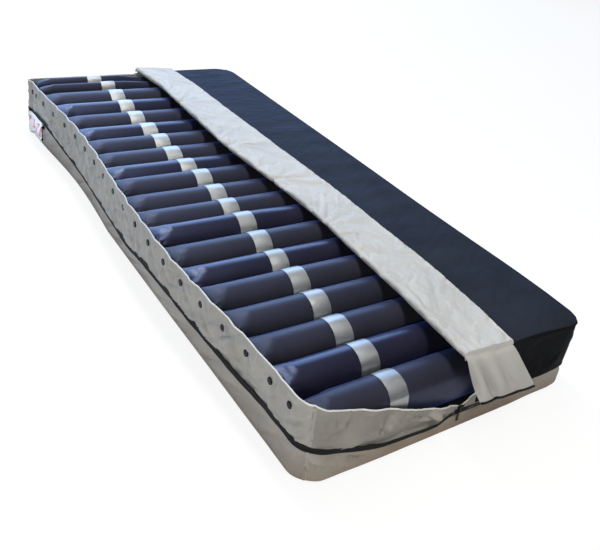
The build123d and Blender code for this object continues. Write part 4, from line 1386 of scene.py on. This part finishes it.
# Pinches in the fold: place, depth, reach. Fans of creases: x, y, direction, width, length, count, depth.
PINCHES = [(0.209, 0.006, 0.010), (-0.069, 0.008, 0.009), (-0.374, 0.004, 0.006), (-0.450, 0.004, 0.006),
           (0.62, 0.005, 0.01)]
PACK_FANS = [(0.055, -0.069, -0.3, 1.0, 0.13, 9, 0.0030), (0.05, 0.209, -0.5, 0.9, 0.12, 8, 0.0026),
             (0.05, -0.374, -0.6, 0.8, 0.09, 6, 0.0016), (0.05, -0.62, -0.8, 0.8, 0.10, 6, 0.0014),
             (0.05, 0.62, -0.6, 0.9, 0.12, 8, 0.0026), (0.10, 0.42, -1.0, 0.9, 0.10, 6, 0.0018)]
print("a section of", len(ring_across), "points")

# %% The pack


def pack_thick(across):
    """The pack's thickness, from the fold (0) to its right edge (1)."""
    return PACK_THICK * (1 - 0.52 * across**1.2)


def pack_place(u, v):
    """Places on the pack: u from the foot to the head, v once round its section."""
    y = (2 * u - 1) * (HALF_LENGTH + PACK_PAST)
    j = np.rint(v * (len(ring_across) - 1)).astype(int)
    across, up, bulge = ring_across[j], ring_up[j], ring_bulge[j]
    notch = sum(depth * bump_at(y, place, reach) for place, depth, reach in PINCHES)
    left = through(y, FOLD_EDGE) + notch + 0.0022 * rumple(y / 0.07, y * 0, 61.0)
    right = through(y, PACK_RIGHT) + 0.0016 * rumple(y / 0.09, y * 0, 63.0)
    end = np.clip((np.abs(y) - (HALF_LENGTH + 0.002)) / PACK_ROUND, 0, 1)
    thick = pack_thick(across) * (1 - 45 * notch * np.exp(-across / 0.1)) * np.maximum(np.sqrt(1 - end**2), 0.02)
    x = left + thick * 0.5 + (right - left - thick * 0.85) * across + bulge * thick / 2
    z = pack_low.z + 0.0002 + thick * up
    top = np.clip(up, 0, 1) ** 2 * (1 - end)
    z = z + top * (0.0014 * rumple(x / 0.09, y / 0.17, 65.0) - 0.0006)
    z = z + top * 0.0013 * crease((x + 0.4 * y) / 0.045, (y - 0.4 * x) / 0.10, 67.0, 12.0)
    z = z + top * 0.0011 * crease((x - 0.6 * y) / 0.03, y / 0.07, 69.0, 12.0) * (1 - 0.7 * across)
    for at_x, at_y, facing, width, length, creases, depth in PACK_FANS:
        z = z + top * depth * fan(x, y, at_x, at_y, facing, width, length, creases)
    return np.stack([x, y, np.minimum(z, pack_high.z + 0.003)], 1)


pack = cloth_grid("folded_pack_cloth", 420, len(ring_across) - 1, pack_place, width=2.03, height=0.38)
resting = np.where(points(pack)[:, 2] < pack_low.z + 0.004, 1.0, 0.0)
settle(pack, resting, 0.004, pressure=0.4, slack=0.012, stiffness=14, bending=0.25)
edited(pack, weld, face_out)
dressed(pack, "mattress", ["cover_folded_pack"], "cover_underside", pack_cloth)

# %% [markdown]
# ## The end flaps
# At the foot and at the head the folded half's own skirt hangs over the end, slanting to the right. Each flap is a
# grid between four corners, with soft upright folds that grow downwards, a curled left edge, and the zip's black tape
# along its lower edge. Hung by the solver alone it would swing straight down, so the solver only softens it.

# %% The flaps
FLAP_CORNERS = ((-0.001, 0.0), (0.154, 0.0), (0.064, -0.145), (0.256, -0.158))
FLARE = math.radians(7)
FLAP_OUT, FLAP_COLUMNS, FLAP_ROWS = 0.0128, 70, 56


def flap_point(end, u, v, extra=0.0):
    """A place on a flap: u from left to right, v down from the fold."""
    (x0, z0), (x1, z1), (x2, z2), (x3, z3) = FLAP_CORNERS
    x0 = x0 + (0.008 if end > 0 else 0)
    x = (1 - v) * (x0 + (x1 - x0) * u) + v * (x2 + (x3 - x2) * u)
    drop = (1 - v) * (z0 + (z1 - z0) * u) + v * (z2 + (z3 - z2) * u)
    top = pack_low.z + pack_thick(np.clip(u, 0, 1)) - 0.0075
    low = np.clip(v, 0, 1)
    # Upright folds, each a hump or a valley across the flap, and the curled left edge.
    fold = 0.005 * bump_at(u, 0.10, 0.06) - 0.016 * bump_at(u, 0.22 + 0.06 * low, 0.055) * (0.4 + 0.6 * low)
    fold = fold + 0.009 * bump_at(u, 0.42, 0.10) - 0.005 * bump_at(u, 0.60, 0.06) + 0.005 * bump_at(u, 0.78, 0.10)
    fold = fold - 0.012 * np.clip((0.07 - u) / 0.07, 0, 1) ** 1.5
    fold = 1.7 * fold * low**0.6 * (1 - 0.93 * low**4) + 0.0025 * rumple(u / 0.16 - v / 0.5, v / 0.4, 71.0) * low
    # Under the fold the flap tucks in, close to the cover's end.
    slot = 0.007 * np.sin(np.pi * np.clip(u, 0, 1)) ** 0.5 * np.exp(-((v / 0.07) ** 2))
    out = -0.005 + 0.011 * (1 - np.exp(-v / 0.07)) - slot + np.sin(FLARE) * -drop + fold + extra
    y = end * (HALF_LENGTH + FLAP_OUT + out)
    lift = (1 - low) * (top - pack_high.z + 0.0035)
    return np.stack([x, y, pack_high.z - 0.0035 + lift + drop * np.cos(FLARE)], 1)


for end, name in ((-1, "foot"), (1, "head")):
    way = (lambda u: u) if end < 0 else (lambda u: 1 - u)
    flap = cloth_grid(f"flap_cloth_{name}", FLAP_COLUMNS, FLAP_ROWS, lambda u, v: flap_point(end, way(u), 1 - v),
                      width=0.17, height=0.16)
    down = np.repeat(np.linspace(1, 0, FLAP_ROWS + 1), FLAP_COLUMNS + 1)
    settle(flap, np.where(down < 0.03, 1.0, 0.25), 0.004, slack=0.01, gravity=0.4, stiffness=10, bending=0.1)
    modified(flap, "SOLIDIFY", thickness=0.0013, offset=-1.0)
    dressed(flap, "mattress", [f"cover_flap_{name}"], "cover_underside", pack_cloth)
    tape = cloth_grid(f"flap_tape_{name}", FLAP_COLUMNS, 3,
                      lambda u, v: flap_point(end, way(u), 1.03 - 0.045 * v, 0.0004), width=0.19, height=0.01)
    modified(tape, "SOLIDIFY", thickness=0.0011, offset=1.0)
    dressed(tape, "mattress", [], "zip_tape", zip_black)

# %% [markdown]
# ## The upper zip
# On the closed side the zip's upper half shows under the skirt: a tape and a coil, swept along the same line as the
# lower half and a little above it. They could be copies of the lower ones, but those go all the way round.

# %% The upper zip
UPPER_TAPE_RISE, UPPER_COIL_RISE = 0.0152, 0.0088
upper_runs = [("foot", 0.03, ENDS["foot"][1]), ("right", *ENDS["right"]), ("head", ENDS["head"][1], 0.0)]
upper_section = rounded_bar(-0.0002, 0.0007, -0.005, 0.005)
upper_tape = joined("upper_zip_band", [
    swept(f"upper_tape_{side}", zip_path(side, start, end, int(abs(end - start) * 60), UPPER_TAPE_RISE), upper_section)
    for side, start, end in upper_runs])
dressed(upper_tape, "mattress", ["upper_zip_tape"], "zip_tape", zip_black)
upper_coil = joined("upper_zip_teeth", [
    coil(f"upper_coil_{side}", side, start, end, UPPER_COIL_RISE) for side, start, end in upper_runs])
dressed(upper_coil, "mattress", ["upper_zip_coil"], "zip_coil", coil_black)

# %% [markdown]
# ## The tag
# The tag by the release pull is a glossy printed film. Its print is left plain: red bars that slant, inside a pale
# border. They could be thin pieces laid on it, but ink has no thickness, so a wave texture on the tag's UV map draws
# them. The film itself follows the lower wall and buckles a little away from it.

# %% The tag's finish
tag_finish, nodes, links, shader = new_finish("tag_finish", 0.25, coat_weight=0.5, coat_roughness=0.12)
spot = nodes.new("ShaderNodeTexCoord")
turned_bars = nodes.new("ShaderNodeMapping")
turned_bars.inputs["Rotation"].default_value = (0, 0, 0.5)
turned_bars.inputs["Location"].default_value = (0.01, 0.0, 0)
bars = nodes.new("ShaderNodeTexWave")
bars.inputs["Scale"].default_value = 8.5
split = nodes.new("ShaderNodeSeparateXYZ")
links.new(spot.outputs["UV"], turned_bars.inputs["Vector"])
links.new(turned_bars.outputs["Vector"], bars.inputs["Vector"])
links.new(spot.outputs["UV"], split.inputs["Vector"])
inked = spread(nodes, links, bars.outputs["Fac"], 0.62, 0.66, 0, 1)
above_border = spread(nodes, links, split.outputs["Y"], 0.018, 0.02, 0, 1)
below_border = spread(nodes, links, split.outputs["Y"], 0.066, 0.064, 0, 1)
inked = product(nodes, links, product(nodes, links, inked, above_border), below_border)
printed = mixed(nodes, links, inked, (0.7, 0.72, 0.75), (0.55, 0.03, 0.03))
links.new(printed, shader.inputs["Base Color"])
raised(nodes, links, shader, [(patches(nodes, links, spot.outputs["Object"], 0.02), 0.5, 0.002)])
print("tag finish,", len(nodes), "nodes")

# %% The tag
tag_low, tag_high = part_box("release_tag")
TAG_NEAR, TAG_FAR, TAG_THICK = 0.846, 0.975, 0.0005


def tag_place(u, v):
    """The tag lies on the lower wall."""
    run = TAG_NEAR + (TAG_FAR - TAG_NEAR) * (1 - u)
    z = tag_low.z + (tag_high.z - tag_low.z) * v
    buckle = np.clip(rumple(run / 0.03, z / 0.03, 81.0) + 0.3, 0, 1)
    return laid("left", run, 0.0012 + lower_out("left", run, z / 0.095, z) + 0.002 * buckle, z)


tag = cloth_grid("tag_film", 34, 24, tag_place, width=0.129, height=0.082)
modified(tag, "SOLIDIFY", thickness=TAG_THICK, offset=-1.0)
dressed(tag, "mattress", ["release_tag"], "tag", tag_finish)

# %% [markdown]
# ## The end tabs
# Small dark tabs join each cell's weld to its stud, behind the wall. They barely show, so a short grid that bends
# inwards at its top is enough, and no cloth run is spent on them.

# %% The end tabs
TAB_BOTTOM, TAB_RISE, TAB_HALF = 0.146, 0.0355, 0.014
tab_parts = []
for side in ("left", "right"):
    for place in STUDS[side]:

        def tab_place(u, v, side=side, place=place):
            run = place + TAB_HALF * (2 * u - 1) * (1 if side == "right" else -1)
            bend = np.clip((v - 0.80) / 0.20, 0, 1)
            z = TAB_BOTTOM + TAB_RISE * np.minimum(v / 0.85, 1)
            return laid(side, run, -0.0028 - 0.0035 * bend**1.5, z)

        tab_parts.append(cloth_grid("tab", 4, 9, tab_place, 2 * TAB_HALF, 0.04))
tabs = joined("cell_tabs", tab_parts)
modified(tabs, "SOLIDIFY", thickness=0.0008, offset=-1.0)
dressed(tabs, "mattress", ["cell_end_tabs"], "cell_fabric", sheet_finish)

# %% [markdown]
# ## Moulded pieces
# Studs, slider, hoses, fittings and the release valve have their true shapes in the CAD. They could be modelled
# again, with nothing gained, so they only get finishes.

# %% Finishes on the CAD nodes
KEPT = {
    stud_finish: ["stud_caps", "stud_sockets", "release_socket", "release_plug", "release_pull"],
    slider_finish: ["zip_slider", "zip_pull"],
    tube_finish: ["air_hose_a", "air_hose_b", "air_hose_static"],
    fitting_finish: ["hose_tees", "air_inlet_coupling"],
}
for finish, names in KEPT.items():
    for name in names:
        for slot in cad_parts[name].material_slots:
            slot.material = finish
print(sum(len(names) for names in KEPT.values()), "CAD nodes kept")

# %% [markdown]
# ## The sizes
# The box round every visible piece, the floor left out, is measured and printed. Cloth may stand only a little
# proud of the CAD.

# %% The sizes
low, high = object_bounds()
print("visual box", tuple(round(v, 3) for v in high - low))
